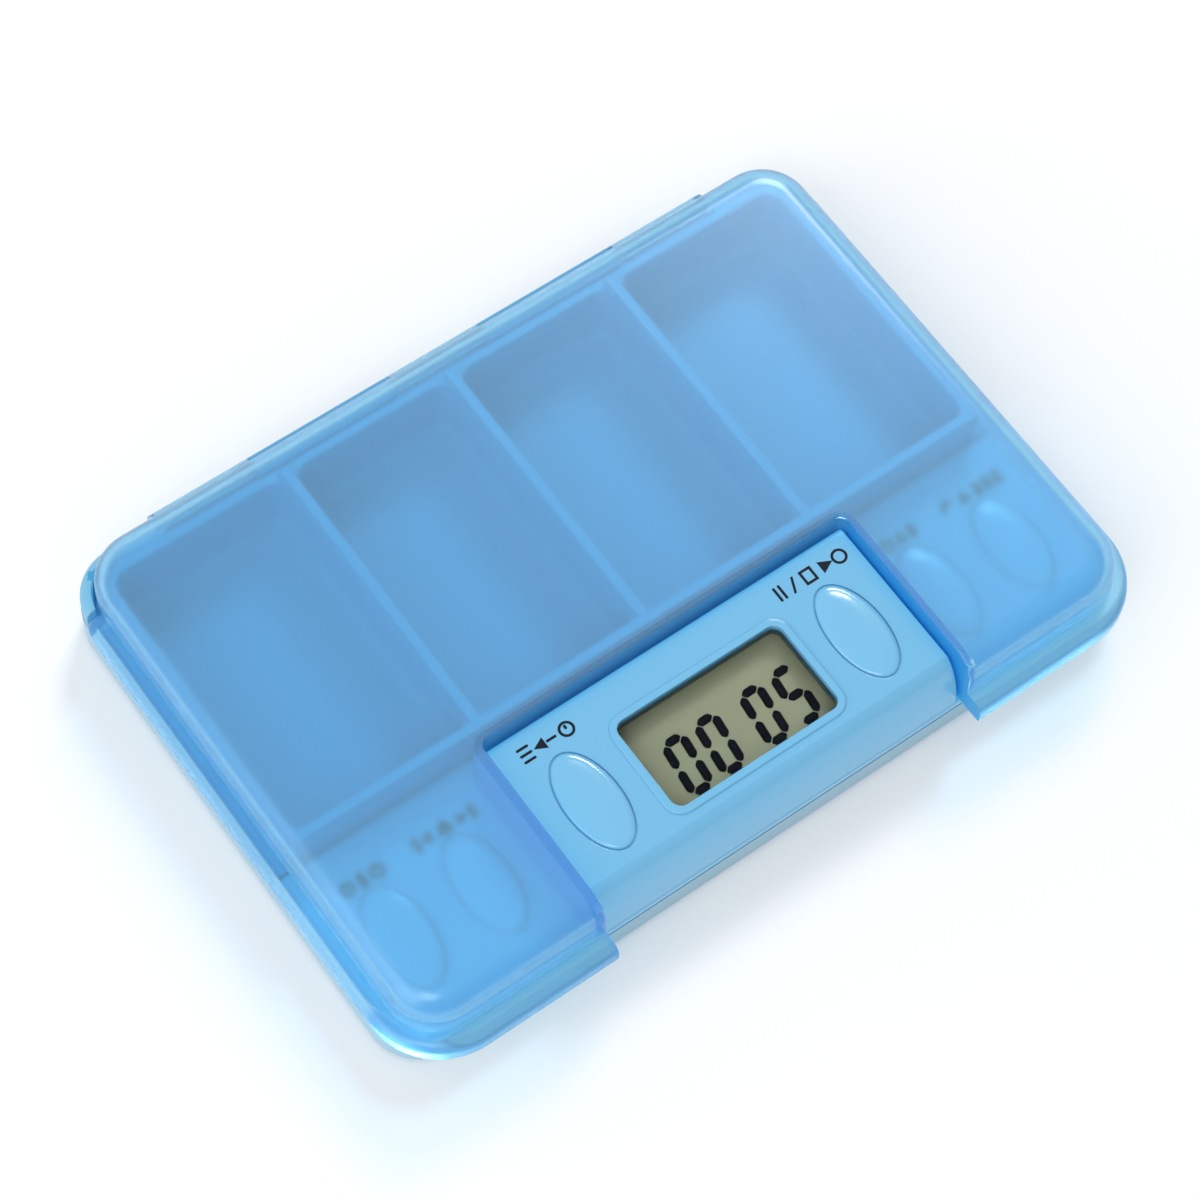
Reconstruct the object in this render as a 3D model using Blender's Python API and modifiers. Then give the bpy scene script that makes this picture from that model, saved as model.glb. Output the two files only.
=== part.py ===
"""Pill organizer: a hinged-lid pill tray with a timer in its front third.

Metres, +Z up. The origin is the centre of the bottom, -Y is the front and +Y the hinge side.
"""
import math

import bmesh
import bpy
from mathutils import Matrix

# The moulded case
CASE_WIDTH = 0.0988
CASE_FRONT_Y = -0.0322
CASE_REAR_Y = 0.0355
CASE_CORNER_R = 0.0062
CASE_EDGE_R = 0.0006
FLOOR_T = 0.0012
WALL_T = 0.0012
SEAM_Z = 0.0039
SEAT_Z = 0.0052
LEDGE_WIDTH = 0.0029

# The compartments
TRAY_WALL_Z = 0.00995
DIVIDER_Z = 0.0107
DIVIDER_T = 0.0012
DIVIDER_PITCH = 0.02225
TRAY_WALL_T = 0.0011
CROSS_WALL_Y = -0.0066
TRAY_FRONT_R = 0.0008
POCKET_R = 0.0022
POCKET_FLOOR_R = 0.0014
HINGE_RELIEF = 0.0006

# The lid
LID_WALL_T = 0.0011
LID_TOP_Z = 0.01425
LID_BODY_Z = 0.0084
LID_FRONT_Y = -0.03295
LID_CORNER_R = 0.006
LID_SHOULDER_R = 0.0034
LID_SEAT_GAP = 0.0004
LID_SIDE_GAP = 0.0003
BAND_OUT_SIDE = 0.0021
BAND_OUT_FRONT = 0.00255
BAND_CORNER_R = 0.009
BAND_EDGE_R = 0.0013
BAND_REAR_R = 0.0015
GUARD_FRONT_Y = 0.0295
GUARD_INSET = 0.00005
BAND_ROOF_Z = 0.0073
NOTCH_GAP = 0.0004
NOTCH_REAR_GAP = 0.0003
NOTCH_CORNER_R = 0.0011
SKIRT_T = 0.001

# The hinge
HINGE_Z = 0.0091
BARREL_R = 0.0016
PIN_R = 0.0006
PIN_FIT = 0.0001
PIN_END_GAP = 0.0003
CENTRE_KNUCKLE_HALF = 0.00605
OUTER_KNUCKLE_X = 0.02495
HINGE_HALF = 0.0373
HOUSING_REAR_GAP = 0.0005
HOUSING_EDGE_R = 0.0013
KNUCKLE_GAP = 0.0003

# The timer's cover
PANEL_T = 0.001
PANEL_EDGE_R = 0.0003
BLOCK_WIDTH = 0.0478
BLOCK_REAR_Y = -0.0099
BLOCK_TOP_Z = 0.0119
BLOCK_CREASE_Y = -0.0292
BLOCK_NOSE = 0.0029
BLOCK_EDGE_R = 0.0008
BLOCK_SIDE_R = 0.0006
SKIN_T = 0.0012
RIM_T = 0.001
RIM_DROP = 0.0012

# The display window
WINDOW_WIDTH = 0.022
WINDOW_DEPTH = 0.0116
WINDOW_Y = -0.0212
WINDOW_R = 0.0013
RING_WIDTH = 0.0009
RING_RISE = 0.00025

# The buttons
BUTTON_WIDTH = 0.00645
BUTTON_LENGTH = 0.0127
BUTTON_GAP = 0.00025
BUTTON_RISE = 0.00045
BUTTON_EDGE_R = 0.0005
FLANGE_OUT = 0.0006
FLANGE_T = 0.0005
FLANGE_GAP = 0.0002
TRAVEL_GAP = 0.00045
STEM_WIDTH = 0.0024
STEM_LENGTH = 0.006
BLOCK_BUTTON_INSET = 0.0062
INNER_WING_SHARE = 0.2725
OUTER_WING_SHARE = 0.6863
WING_BUTTON_Y = -0.0203

# The circuit board and what it carries
GAP = 0.0003
REST_RISE = 0.00025
REST_R = 0.0015
BOARD_T = 0.0007
BOARD_INSET = 0.0014
BOARD_CORNER_R = 0.0045
SHEET_GAP = 0.0002
SHEET_T = 0.00015
SHEET_MARGIN = 0.0016
DOME_R = 0.0024
DOME_RISE = 0.0003
CHIP_R = 0.0023
CHIP_RISE = 0.001
CHIP_STEP = 0.0058
CRYSTAL_R = 0.001
CRYSTAL_LENGTH = 0.006
CRYSTAL_STEP = 0.0076
BUZZER_R = 0.0026
BUZZER_HEIGHT = 0.004
BUZZER_STEP = 0.0071
BUZZER_HOLE_R = 0.0008
CAPACITOR_STEP = 0.0059
CAPACITOR_PITCH = 0.0024
CAPACITOR_SIZE = (0.0012, 0.002, 0.0008)

# The cells, their well and the door under them
CELL_R = 0.0058
CELL_HEIGHT = 0.0054
CELL_CAP_R = 0.0049
CELL_CAP_RISE = 0.0004
CELL_EDGE_R = 0.0005
CELL_GAP = 0.0004
CELLS_Y = -0.0196
WELL_T = 0.001
WELL_R = 0.0008
DOOR_GAP = 0.0003
DOOR_CATCH_WIDTH = 0.006
DOOR_CATCH_DEPTH = 0.0018
DOOR_CATCH_SINK = 0.0005
CONTACT_T = 0.0002
CONTACT_WIDTH = 0.0036
BRIDGE_WIDTH = 0.005
CONTACT_REACH = 0.0042

# The display stack
HOLDER_T = 0.0011
HOLDER_FOOT = 0.0014
GLASS_SIDE = 0.0013
GLASS_REAR = 0.0008
GLASS_T = 0.0009
GLASS_R = 0.0004
BACKING_T = 0.0002
LENS_FLANGE = 0.001
LENS_FLANGE_T = 0.0004
LENS_SINK = 0.0003
LENS_GAP = 0.0002
ZEBRA_T = 0.0012
ZEBRA_WIDTH = 0.021

# The case screws
SCREW_FRONT_Y = -0.0292
SCREW_REAR_Y = -0.0098
POST_R = 0.002
POST_TOP_Z = 0.0022
BOSS_R = 0.0017
BOSS_ROOF_T = 0.0008
SCREW_R = 0.00075
SCREW_FIT = 0.0001
SCREW_HEAD_R = 0.00145
SCREW_HEAD_T = 0.0006
SCREW_HEAD_SINK = 0.0001
SCREW_TIP_GAP = 0.0003
SCREW_SLOT_T = 0.0004
SCREW_SLOT_DEPTH = 0.0003

# One overrun for every cutter, one lap for every join, and the distance that welds seams
OVERRUN = 0.004
LAP = 0.0004
WELD = 0.000001

# Segment counts and small angles
CORNER_STEPS = 6
ROUND_STEPS = 24
OVAL_STEPS = 36
NOSE_STEPS = 8
FLAT_ANGLE = math.radians(0.5)
SHARP_ANGLE = math.radians(30)

# Places worked out from the sizes above
CASE_HALF = CASE_WIDTH / 2
TRAY_HALF = CASE_HALF - LEDGE_WIDTH
TRAY_CORNER_R = LID_CORNER_R - LID_WALL_T - LID_SIDE_GAP
TRAY_INNER = TRAY_HALF - TRAY_WALL_T
TRAY_FRONT_Y = CROSS_WALL_Y - DIVIDER_T / 2
TRAY_REAR_Y = CASE_REAR_Y - LEDGE_WIDTH
TRAY_INNER_REAR_Y = TRAY_REAR_Y - HINGE_RELIEF - TRAY_WALL_T
CHANNEL_ROOF_Z = SEAT_Z - WALL_T
HINGE_Y = CASE_REAR_Y - BARREL_R
REAR_WALL_Z = HINGE_Z - BARREL_R - GAP
LID_HALF = TRAY_HALF + LID_SIDE_GAP + LID_WALL_T
LID_REAR_Y = TRAY_REAR_Y + LID_SIDE_GAP + LID_WALL_T
LID_BOTTOM_Z = SEAT_Z + LID_SEAT_GAP
LID_ROOF_Z = LID_TOP_Z - LID_WALL_T
BAND_HALF = LID_HALF + BAND_OUT_SIDE
BAND_FRONT_Y = LID_FRONT_Y - BAND_OUT_FRONT
BAND_REAR_Y = GUARD_FRONT_Y - GAP
REAR_CUT_Y = LID_REAR_Y - LID_CORNER_R
REAR_CUT_HALF = LID_HALF - LID_WALL_T / 2
BLOCK_HALF = BLOCK_WIDTH / 2
NOTCH_HALF = BLOCK_HALF + NOTCH_GAP
NOTCH_REAR_Y = BLOCK_REAR_Y + NOTCH_REAR_GAP
BORE_HALF = HINGE_HALF - PIN_END_GAP
PANEL_REAR_Y = TRAY_FRONT_Y - GAP
PANEL_UNDER_Z = SEAT_Z - PANEL_T
BLOCK_ROOF_Z = BLOCK_TOP_Z - SKIN_T
RIM_INSET = WALL_T + GAP
BOARD_Z = FLOOR_T + REST_RISE + GAP
BOARD_TOP_Z = BOARD_Z + BOARD_T
PART_Z = BOARD_TOP_Z + GAP
SHEET_Z = BOARD_TOP_Z + SHEET_GAP
DOME_TOP_Z = SHEET_Z + SHEET_T + DOME_RISE
WELL_HALF = CELL_R * 2 + CELL_GAP * 2
WELL_DEPTH = CELL_R + CELL_GAP
BRIDGE_Z = FLOOR_T + GAP
CELL_Z = BRIDGE_Z + CONTACT_T + GAP
CELL_TOP_Z = CELL_Z + CELL_HEIGHT
CONTACT_Z = CELL_TOP_Z + GAP
WELL_TOP_Z = CONTACT_Z - GAP - SHEET_T
BACKING_Z = CONTACT_Z + CONTACT_T + GAP
GLASS_Z = BACKING_Z + BACKING_T + GAP
LENS_Z = BLOCK_ROOF_Z - GAP - LENS_FLANGE_T
GLASS_HALF = WINDOW_WIDTH / 2 + GLASS_SIDE
ZEBRA_REAR_Y = CELLS_Y - WELL_DEPTH - WELL_T - GAP
GLASS_FRONT_Y = ZEBRA_REAR_Y - ZEBRA_T
GLASS_REAR_Y = WINDOW_Y + WINDOW_DEPTH / 2 + GLASS_REAR
BLOCK_BUTTON_X = BLOCK_HALF - BLOCK_BUTTON_INSET
BLOCK_BUTTON_Y = WINDOW_Y
WING_WIDTH = CASE_HALF - BLOCK_HALF
INNER_BUTTON_X = BLOCK_HALF + WING_WIDTH * INNER_WING_SHARE
OUTER_BUTTON_X = BLOCK_HALF + WING_WIDTH * OUTER_WING_SHARE
SCREW_X = (INNER_BUTTON_X + OUTER_BUTTON_X) / 2
SCREW_PLACES = [(side * SCREW_X, y) for y in (SCREW_FRONT_Y, SCREW_REAR_Y) for side in (-1, 1)]
BUTTON_PLACES = {
    "recall_button": (-BLOCK_BUTTON_X, BLOCK_BUTTON_Y),
    "power_button": (BLOCK_BUTTON_X, BLOCK_BUTTON_Y),
    "clock_button": (-OUTER_BUTTON_X, WING_BUTTON_Y),
    "alarm_button": (-INNER_BUTTON_X, WING_BUTTON_Y),
    "hour_button": (INNER_BUTTON_X, WING_BUTTON_Y),
    "minute_button": (OUTER_BUTTON_X, WING_BUTTON_Y),
}
BLOCK_BUTTONS = ("recall_button", "power_button")

# Colour, roughness and metallic value of each material
LOOKS = {
    "tray_blue": ((0.20, 0.46, 0.80), 0.32, 0.0),
    "panel_blue": ((0.27, 0.60, 0.90), 0.18, 0.0),
    "lid_frost": ((0.30, 0.60, 0.88), 0.45, 0.0),
    "button_blue": ((0.27, 0.60, 0.90), 0.22, 0.0),
    "pin_steel": ((0.62, 0.62, 0.64), 0.30, 1.0),
    "board_green": ((0.06, 0.25, 0.10), 0.50, 0.0),
    "dome_film": ((0.80, 0.80, 0.78), 0.40, 0.0),
    "window_clear": ((0.80, 0.86, 0.82), 0.06, 0.0),
    "holder_white": ((0.82, 0.82, 0.80), 0.50, 0.0),
    "display_glass": ((0.28, 0.30, 0.22), 0.15, 0.0),
    "reflector_grey": ((0.35, 0.37, 0.28), 0.40, 0.3),
    "zebra_rubber": ((0.10, 0.10, 0.11), 0.80, 0.0),
    "chip_epoxy": ((0.02, 0.02, 0.02), 0.35, 0.0),
    "can_metal": ((0.70, 0.70, 0.70), 0.25, 1.0),
    "buzzer_black": ((0.03, 0.03, 0.03), 0.55, 0.0),
    "capacitor_tan": ((0.45, 0.33, 0.20), 0.50, 0.0),
    "cell_steel": ((0.72, 0.72, 0.70), 0.22, 1.0),
    "contact_nickel": ((0.72, 0.68, 0.58), 0.28, 1.0),
    "door_blue": ((0.20, 0.46, 0.80), 0.34, 0.0),
    "screw_steel": ((0.55, 0.55, 0.56), 0.35, 1.0),
}


# Scene and material helpers
def clear_scene():
    """Remove every object and collection that the scene starts with."""
    for old in list(bpy.data.objects):
        bpy.data.objects.remove(old, do_unlink=True)
    for old in list(bpy.data.collections):
        bpy.data.collections.remove(old)


def new_collection(name):
    """Make a collection under the scene's own."""
    made = bpy.data.collections.new(name)
    bpy.context.scene.collection.children.link(made)
    return made


def look(name):
    """Make a Principled material once and give it back each time."""
    known = bpy.data.materials.get(name)
    if known:
        return known
    colour, roughness, metallic = LOOKS[name]
    made = bpy.data.materials.new(name)
    made.use_nodes = True
    shader = made.node_tree.nodes["Principled BSDF"]
    shader.inputs["Base Color"].default_value = (*colour, 1.0)
    shader.inputs["Roughness"].default_value = roughness
    shader.inputs["Metallic"].default_value = metallic
    made.diffuse_color = (*colour, 1.0)
    return made


# Outlines
def rounded_box(x0, x1, y0, y1, front_r, rear_r=None):
    """Outline of a rectangle with one radius at the front corners and one at the rear."""
    rear_r = front_r if rear_r is None else rear_r
    corners = [(x1 - front_r, y0 + front_r, front_r, -90), (x1 - rear_r, y1 - rear_r, rear_r, 0),
               (x0 + rear_r, y1 - rear_r, rear_r, 90), (x0 + front_r, y0 + front_r, front_r, 180)]
    points = []
    for cx, cy, radius, start in corners:
        if radius <= 0:
            points.append((cx, cy))
            continue
        for step in range(CORNER_STEPS + 1):
            angle = math.radians(start + 90 * step / CORNER_STEPS)
            points.append((cx + radius * math.cos(angle), cy + radius * math.sin(angle)))
    return points


def oval(x, y, width, length, steps=OVAL_STEPS):
    """Outline of an ellipse."""
    turn = 2 * math.pi / steps
    return [(x + width / 2 * math.cos(turn * k), y + length / 2 * math.sin(turn * k))
            for k in range(steps)]


# Solids
def welded(shape):
    """Turn a curve object into a mesh object whose seams are welded."""
    graph = bpy.context.evaluated_depsgraph_get()
    mesh = bpy.data.meshes.new_from_object(shape.evaluated_get(graph))
    work = bmesh.new()
    work.from_mesh(mesh)
    bmesh.ops.remove_doubles(work, verts=work.verts, dist=WELD)
    bmesh.ops.dissolve_limit(work, angle_limit=FLAT_ANGLE, verts=work.verts, edges=work.edges)
    bmesh.ops.recalc_face_normals(work, faces=work.faces)
    work.to_mesh(mesh)
    work.free()
    name, place, old = shape.name, shape.matrix_world.copy(), shape.data
    bpy.data.objects.remove(shape, do_unlink=True)
    bpy.data.curves.remove(old)
    solid = bpy.data.objects.new(name, mesh)
    solid.matrix_world = place
    bpy.context.scene.collection.objects.link(solid)
    return solid


def settle(solid, place=None):
    """Move an object's own placing (or a given one) into its mesh."""
    solid.data.transform(place if place is not None else solid.matrix_world)
    solid.matrix_world = Matrix.Identity(4)
    return solid


def flat_curve(name, outlines, thickness):
    """A filled 2D curve, extruded by half its thickness each way."""
    curve = bpy.data.curves.new(name, "CURVE")
    curve.dimensions = "2D"
    curve.fill_mode = "BOTH"
    curve.extrude = thickness / 2
    for points in outlines:
        spline = curve.splines.new("POLY")
        spline.points.add(len(points) - 1)
        for point, (x, y) in zip(spline.points, points):
            point.co = (x, y, 0, 1)
        spline.use_cyclic_u = True
    shape = bpy.data.objects.new(name, curve)
    bpy.context.scene.collection.objects.link(shape)
    return shape


def plate(name, outline, z0, z1, hole=None):
    """A plate between two heights, with an outline seen from above."""
    shape = flat_curve(name, [outline] + ([hole] if hole else []), z1 - z0)
    shape.location = (0, 0, (z0 + z1) / 2)
    bpy.context.view_layer.update()
    return settle(welded(shape))


def side_plate(name, outline, x0, x1):
    """A plate between two places along X, with an outline of (Y, Z) points."""
    shape = flat_curve(name, [outline], x1 - x0)
    turn = Matrix(((0, 0, 1, (x0 + x1) / 2), (1, 0, 0, 0), (0, 1, 0, 0), (0, 0, 0, 1)))
    shape.matrix_world = turn
    bpy.context.view_layer.update()
    return settle(welded(shape))


def box(name, x0, x1, y0, y1, z0, z1):
    """A box between three pairs of planes."""
    work = bmesh.new()
    size = Matrix.Diagonal((x1 - x0, y1 - y0, z1 - z0, 1))
    place = Matrix.Translation(((x0 + x1) / 2, (y0 + y1) / 2, (z0 + z1) / 2))
    bmesh.ops.create_cube(work, size=1, matrix=place @ size)
    return from_work(name, work)


def rod(name, radius, start, end, steps=ROUND_STEPS, end_radius=None):
    """A cylinder or cone between two points that share an axis line."""
    work = bmesh.new()
    span = [b - a for a, b in zip(start, end)]
    height = math.sqrt(sum(part * part for part in span))
    middle = [(a + b) / 2 for a, b in zip(start, end)]
    turn = Matrix.Rotation(math.pi / 2, 4, "Y") if abs(span[0]) > abs(span[2]) else Matrix.Identity(4)
    far = radius if end_radius is None else end_radius
    bmesh.ops.create_cone(work, cap_ends=True, segments=steps, radius1=radius, radius2=far,
                          depth=height, matrix=Matrix.Translation(middle) @ turn)
    return from_work(name, work)


def turned(name, profile, place, steps=ROUND_STEPS):
    """A solid turned about Z from an (X, Z) profile that runs down its outer side."""
    mesh = bpy.data.meshes.new(name)
    points = [(x, 0, z) for x, z in profile]
    mesh.from_pydata(points, [(k, k + 1) for k in range(len(points) - 1)], [])
    solid = bpy.data.objects.new(name, mesh)
    bpy.context.scene.collection.objects.link(solid)
    solid.location = place
    screw = solid.modifiers.new("Turn", "SCREW")
    screw.axis = "Z"
    screw.steps = steps
    screw.render_steps = steps
    screw.use_merge_vertices = True
    screw.merge_threshold = WELD
    screw.use_smooth_shade = True
    return solid


def from_work(name, work):
    """Put a bmesh into a new object."""
    mesh = bpy.data.meshes.new(name)
    work.to_mesh(mesh)
    work.free()
    solid = bpy.data.objects.new(name, mesh)
    bpy.context.scene.collection.objects.link(solid)
    return solid


def soften(solid, radius, steps, chosen):
    """Round the sharp edges whose middle the test picks."""
    work = bmesh.new()
    work.from_mesh(solid.data)
    work.normal_update()
    edges = []
    for edge in work.edges:
        if len(edge.link_faces) == 2 and edge.calc_face_angle(0) > SHARP_ANGLE:
            middle = (edge.verts[0].co + edge.verts[1].co) / 2
            if chosen(middle, edge):
                edges.append(edge)
    bmesh.ops.bevel(work, geom=edges, offset=radius, offset_type="OFFSET", segments=steps,
                    profile=0.5, affect="EDGES", clamp_overlap=True)
    work.to_mesh(solid.data)
    work.free()
    return solid


def at_height(height):
    """Pick the level edges at one height."""
    return lambda middle, edge: abs(middle.z - height) < WELD * 10 and level(edge)


def level(edge):
    """Whether an edge lies level."""
    return abs(edge.verts[0].co.z - edge.verts[1].co.z) < WELD * 10


def change(piece, tool, operation):
    """Cut or join a piece with a tool that stays in the cutters collection."""
    cutters.objects.link(tool)
    bpy.context.scene.collection.objects.unlink(tool)
    tool.hide_render = True
    tool.display_type = "WIRE"
    step = piece.modifiers.new(tool.name, "BOOLEAN")
    step.operation = operation
    step.object = tool
    step.solver = "EXACT"
    return piece


def cut(piece, tool):
    """Take a tool's solid out of a piece."""
    return change(piece, tool, "DIFFERENCE")


def join(piece, tool):
    """Add a tool's solid to a piece."""
    return change(piece, tool, "UNION")


def gathered(name, solids):
    """Put solids that stand apart into one object."""
    work = bmesh.new()
    for solid in solids:
        work.from_mesh(solid.data)
        old = solid.data
        bpy.data.objects.remove(solid, do_unlink=True)
        bpy.data.meshes.remove(old)
    return from_work(name, work)


def finish(piece, material, origin=(0, 0, 0)):
    """Name a piece's material, shade it and put its origin on its axis or seat."""
    piece.data.materials.clear()
    piece.data.materials.append(look(material))
    if any(origin):
        piece.data.transform(Matrix.Translation([-part for part in origin]))
        piece.location = origin
    piece.data.shade_smooth()
    piece.data.set_sharp_from_angle(angle=SHARP_ANGLE)
    bpy.context.scene.collection.objects.unlink(piece)
    parts.objects.link(piece)
    return piece


# The tray
def make_tray():
    """Floor, front bay, four compartments, ledge, rear wall, knuckles, well and posts."""
    outline = rounded_box(-CASE_HALF, CASE_HALF, CASE_FRONT_Y, CASE_REAR_Y, CASE_CORNER_R)
    tray = plate("tray_base", outline, 0, SEAT_Z)
    soften(tray, CASE_EDGE_R, 2, at_height(0))
    # The front bay's walls stop at the seam
    cut(tray, box("seam_cut", -CASE_WIDTH, CASE_WIDTH, CASE_FRONT_Y - OVERRUN, TRAY_FRONT_Y,
                  SEAM_Z, SEAT_Z + OVERRUN))
    # A hidden channel under the ledge leaves the outer wall thin
    channel = plate("ledge_channel", rounded_box(
        -CASE_HALF + WALL_T, CASE_HALF - WALL_T, TRAY_FRONT_Y + DIVIDER_T, CASE_REAR_Y - WALL_T,
        TRAY_FRONT_R, CASE_CORNER_R - WALL_T), -OVERRUN, CHANNEL_ROOF_Z)
    cut(channel, plate("channel_core", rounded_box(
        -TRAY_HALF, TRAY_HALF, CASE_FRONT_Y, TRAY_REAR_Y, TRAY_FRONT_R, TRAY_CORNER_R),
        -OVERRUN * 2, SEAT_Z + OVERRUN))
    cut(tray, channel)
    # The compartments' block rises out of the ledge
    join(tray, plate("tray_walls", rounded_box(
        -TRAY_HALF, TRAY_HALF, TRAY_FRONT_Y, TRAY_REAR_Y, TRAY_FRONT_R, TRAY_CORNER_R),
        FLOOR_T / 2, TRAY_WALL_Z))
    join(tray, plate("divider_comb", comb_outline(), SEAT_Z, DIVIDER_Z))
    cut(tray, make_pockets())
    # The rear wall steps forward where the hinge barrels turn
    cut(tray, box("hinge_relief", -HINGE_HALF - KNUCKLE_GAP * 2, HINGE_HALF + KNUCKLE_GAP * 2,
                  TRAY_REAR_Y - HINGE_RELIEF, CASE_REAR_Y, REAR_WALL_Z, DIVIDER_Z + OVERRUN))
    wall_half = CASE_HALF - CASE_CORNER_R
    join(tray, box("rear_rail", -wall_half, wall_half, CASE_REAR_Y - WALL_T, CASE_REAR_Y,
                   CHANNEL_ROOF_Z + LAP, REAR_WALL_Z))
    add_corner_guards(tray, wall_half - LAP)
    add_base_knuckles(tray)
    # The front bay is open to the timer's cover
    cut(tray, plate("bay_cut", rounded_box(
        -CASE_HALF + WALL_T, CASE_HALF - WALL_T, CASE_FRONT_Y + WALL_T, TRAY_FRONT_Y,
        CASE_CORNER_R - WALL_T, TRAY_FRONT_R), FLOOR_T, SEAT_Z))
    add_bay_features(tray)
    return finish(tray, "tray_blue")


def add_corner_guards(tray, span_half):
    """The case rises round the lid's rear corners, in line with the lid's band."""
    half = CASE_HALF - GUARD_INSET
    room = LID_HALF + GAP + GUARD_INSET
    guards = plate("corner_guards", rounded_box(
        -half, half, 0, CASE_REAR_Y - GUARD_INSET, 0, CASE_CORNER_R), SEAT_Z - LAP, LID_BODY_Z)
    soften(guards, BAND_EDGE_R, 3, at_height(LID_BODY_Z))
    cut(guards, plate("guard_room", rounded_box(
        -room, room, -OVERRUN, LID_REAR_Y + GAP + GUARD_INSET, 0, LID_CORNER_R + GAP),
        0, LID_TOP_Z))
    cut(guards, box("guard_ends", -CASE_WIDTH, CASE_WIDTH, -OVERRUN * 2, GUARD_FRONT_Y,
                    0, LID_TOP_Z + LAP))
    cut(guards, box("guard_span", -span_half, span_half, GUARD_FRONT_Y - OVERRUN,
                    CASE_REAR_Y + OVERRUN, 0, LID_TOP_Z + OVERRUN))
    join(tray, guards)


def comb_outline():
    """Outline of the cross wall with its three dividers, seen from above."""
    front, back = TRAY_FRONT_Y, TRAY_FRONT_Y + DIVIDER_T
    rear = TRAY_INNER_REAR_Y + TRAY_WALL_T / 2
    reach = TRAY_HALF - TRAY_WALL_T / 2
    points = [(-reach, front), (reach, front), (reach, back)]
    for x in (DIVIDER_PITCH, 0, -DIVIDER_PITCH):
        points += [(x + DIVIDER_T / 2, back), (x + DIVIDER_T / 2, rear),
                   (x - DIVIDER_T / 2, rear), (x - DIVIDER_T / 2, back)]
    return points + [(-reach, back)]


def make_pockets():
    """The four compartments' hollows, with rounded corners and floor edges."""
    edges = [-TRAY_INNER - DIVIDER_T / 2, -DIVIDER_PITCH, 0, DIVIDER_PITCH,
             TRAY_INNER + DIVIDER_T / 2]
    hollows = []
    for left, right in zip(edges, edges[1:]):
        hollow = plate("hollow", rounded_box(
            left + DIVIDER_T / 2, right - DIVIDER_T / 2, TRAY_FRONT_Y + DIVIDER_T,
            TRAY_INNER_REAR_Y, POCKET_R), FLOOR_T, DIVIDER_Z + OVERRUN)
        hollows.append(soften(hollow, POCKET_FLOOR_R, 3, at_height(FLOOR_T)))
    return gathered("pockets", hollows)


def add_base_knuckles(tray):
    """Two wide knuckles rise from the ledge, bored for the pin."""
    inner = CENTRE_KNUCKLE_HALF + KNUCKLE_GAP
    outer = OUTER_KNUCKLE_X - KNUCKLE_GAP
    for side, name in ((-1, "left"), (1, "right")):
        x0, x1 = sorted((side * inner, side * outer))
        join(tray, box("knuckle_root_" + name, x0, x1, TRAY_REAR_Y - HINGE_RELIEF - LAP,
                       CASE_REAR_Y, CHANNEL_ROOF_Z + LAP, HINGE_Z))
        join(tray, rod("knuckle_barrel_" + name, BARREL_R, (x0, HINGE_Y, HINGE_Z),
                       (x1, HINGE_Y, HINGE_Z)))
    cut(tray, rod("base_bore", PIN_R + PIN_FIT, (-BORE_HALF, HINGE_Y, HINGE_Z),
                  (BORE_HALF, HINGE_Y, HINGE_Z)))


def add_bay_features(tray):
    """Battery well, board rests and screw posts on the front bay's floor."""
    half = WELL_HALF + WELL_T
    join(tray, plate("well_wall", rounded_box(
        -half, half, CELLS_Y - WELL_DEPTH - WELL_T, CELLS_Y + WELL_DEPTH + WELL_T,
        WELL_R + WELL_T), FLOOR_T / 2, WELL_TOP_Z))
    cut(tray, plate("well_shaft", rounded_box(
        -WELL_HALF, WELL_HALF, CELLS_Y - WELL_DEPTH, CELLS_Y + WELL_DEPTH, WELL_R),
        -OVERRUN, WELL_TOP_Z + OVERRUN))
    rests = []
    for x, y in rest_places():
        rests.append(rod("rest", REST_R, (x, y, FLOOR_T / 2), (x, y, FLOOR_T + REST_RISE), 12))
    join(tray, gathered("board_rests", rests))
    posts, bores, sinks = [], [], []
    for x, y in SCREW_PLACES:
        posts.append(rod("post", POST_R, (x, y, FLOOR_T / 2), (x, y, POST_TOP_Z), 16))
        bores.append(rod("bore", SCREW_R + SCREW_FIT, (x, y, -OVERRUN),
                         (x, y, POST_TOP_Z + OVERRUN), 12))
        sinks.append(rod("sink", SCREW_HEAD_R + GAP, (x, y, -OVERRUN),
                         (x, y, SCREW_HEAD_SINK + SCREW_HEAD_T + GAP), 16))
    join(tray, gathered("screw_posts", posts))
    cut(tray, gathered("screw_sinks", sinks))
    cut(tray, gathered("screw_bores", bores))


def rest_places():
    """Where the board lies on the floor's low rests."""
    inset = BOARD_INSET + WALL_T + REST_R * 2
    middle = (CASE_FRONT_Y + TRAY_FRONT_Y) / 2
    reach = BLOCK_HALF + REST_R
    return [(side * x, y) for side in (-1, 1) for x, y in (
        (CASE_HALF - inset, middle), (reach, CASE_FRONT_Y + inset), (reach, TRAY_FRONT_Y - inset))]


# The timer's cover
def nose_profile(inset, low, rear_r):
    """(Y, Z) outline of the raised block: flat top and a convex front that runs down."""
    top = BLOCK_TOP_Z - inset
    rear = BLOCK_REAR_Y - inset
    rise = top - PANEL_UNDER_Z
    points = [(rear, low)]
    for step in range(4):
        angle = math.pi / 2 * step / 3
        points.append((rear - rear_r + rear_r * math.cos(angle), top - rear_r + rear_r * math.sin(angle)))
    for step in range(NOSE_STEPS + 1):
        angle = math.pi / 2 * step / NOSE_STEPS
        points.append((BLOCK_CREASE_Y - (BLOCK_NOSE - inset) * math.sin(angle),
                       PANEL_UNDER_Z + rise * math.cos(angle)))
    points.append((BLOCK_CREASE_Y - BLOCK_NOSE + inset, low))
    return points


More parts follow.
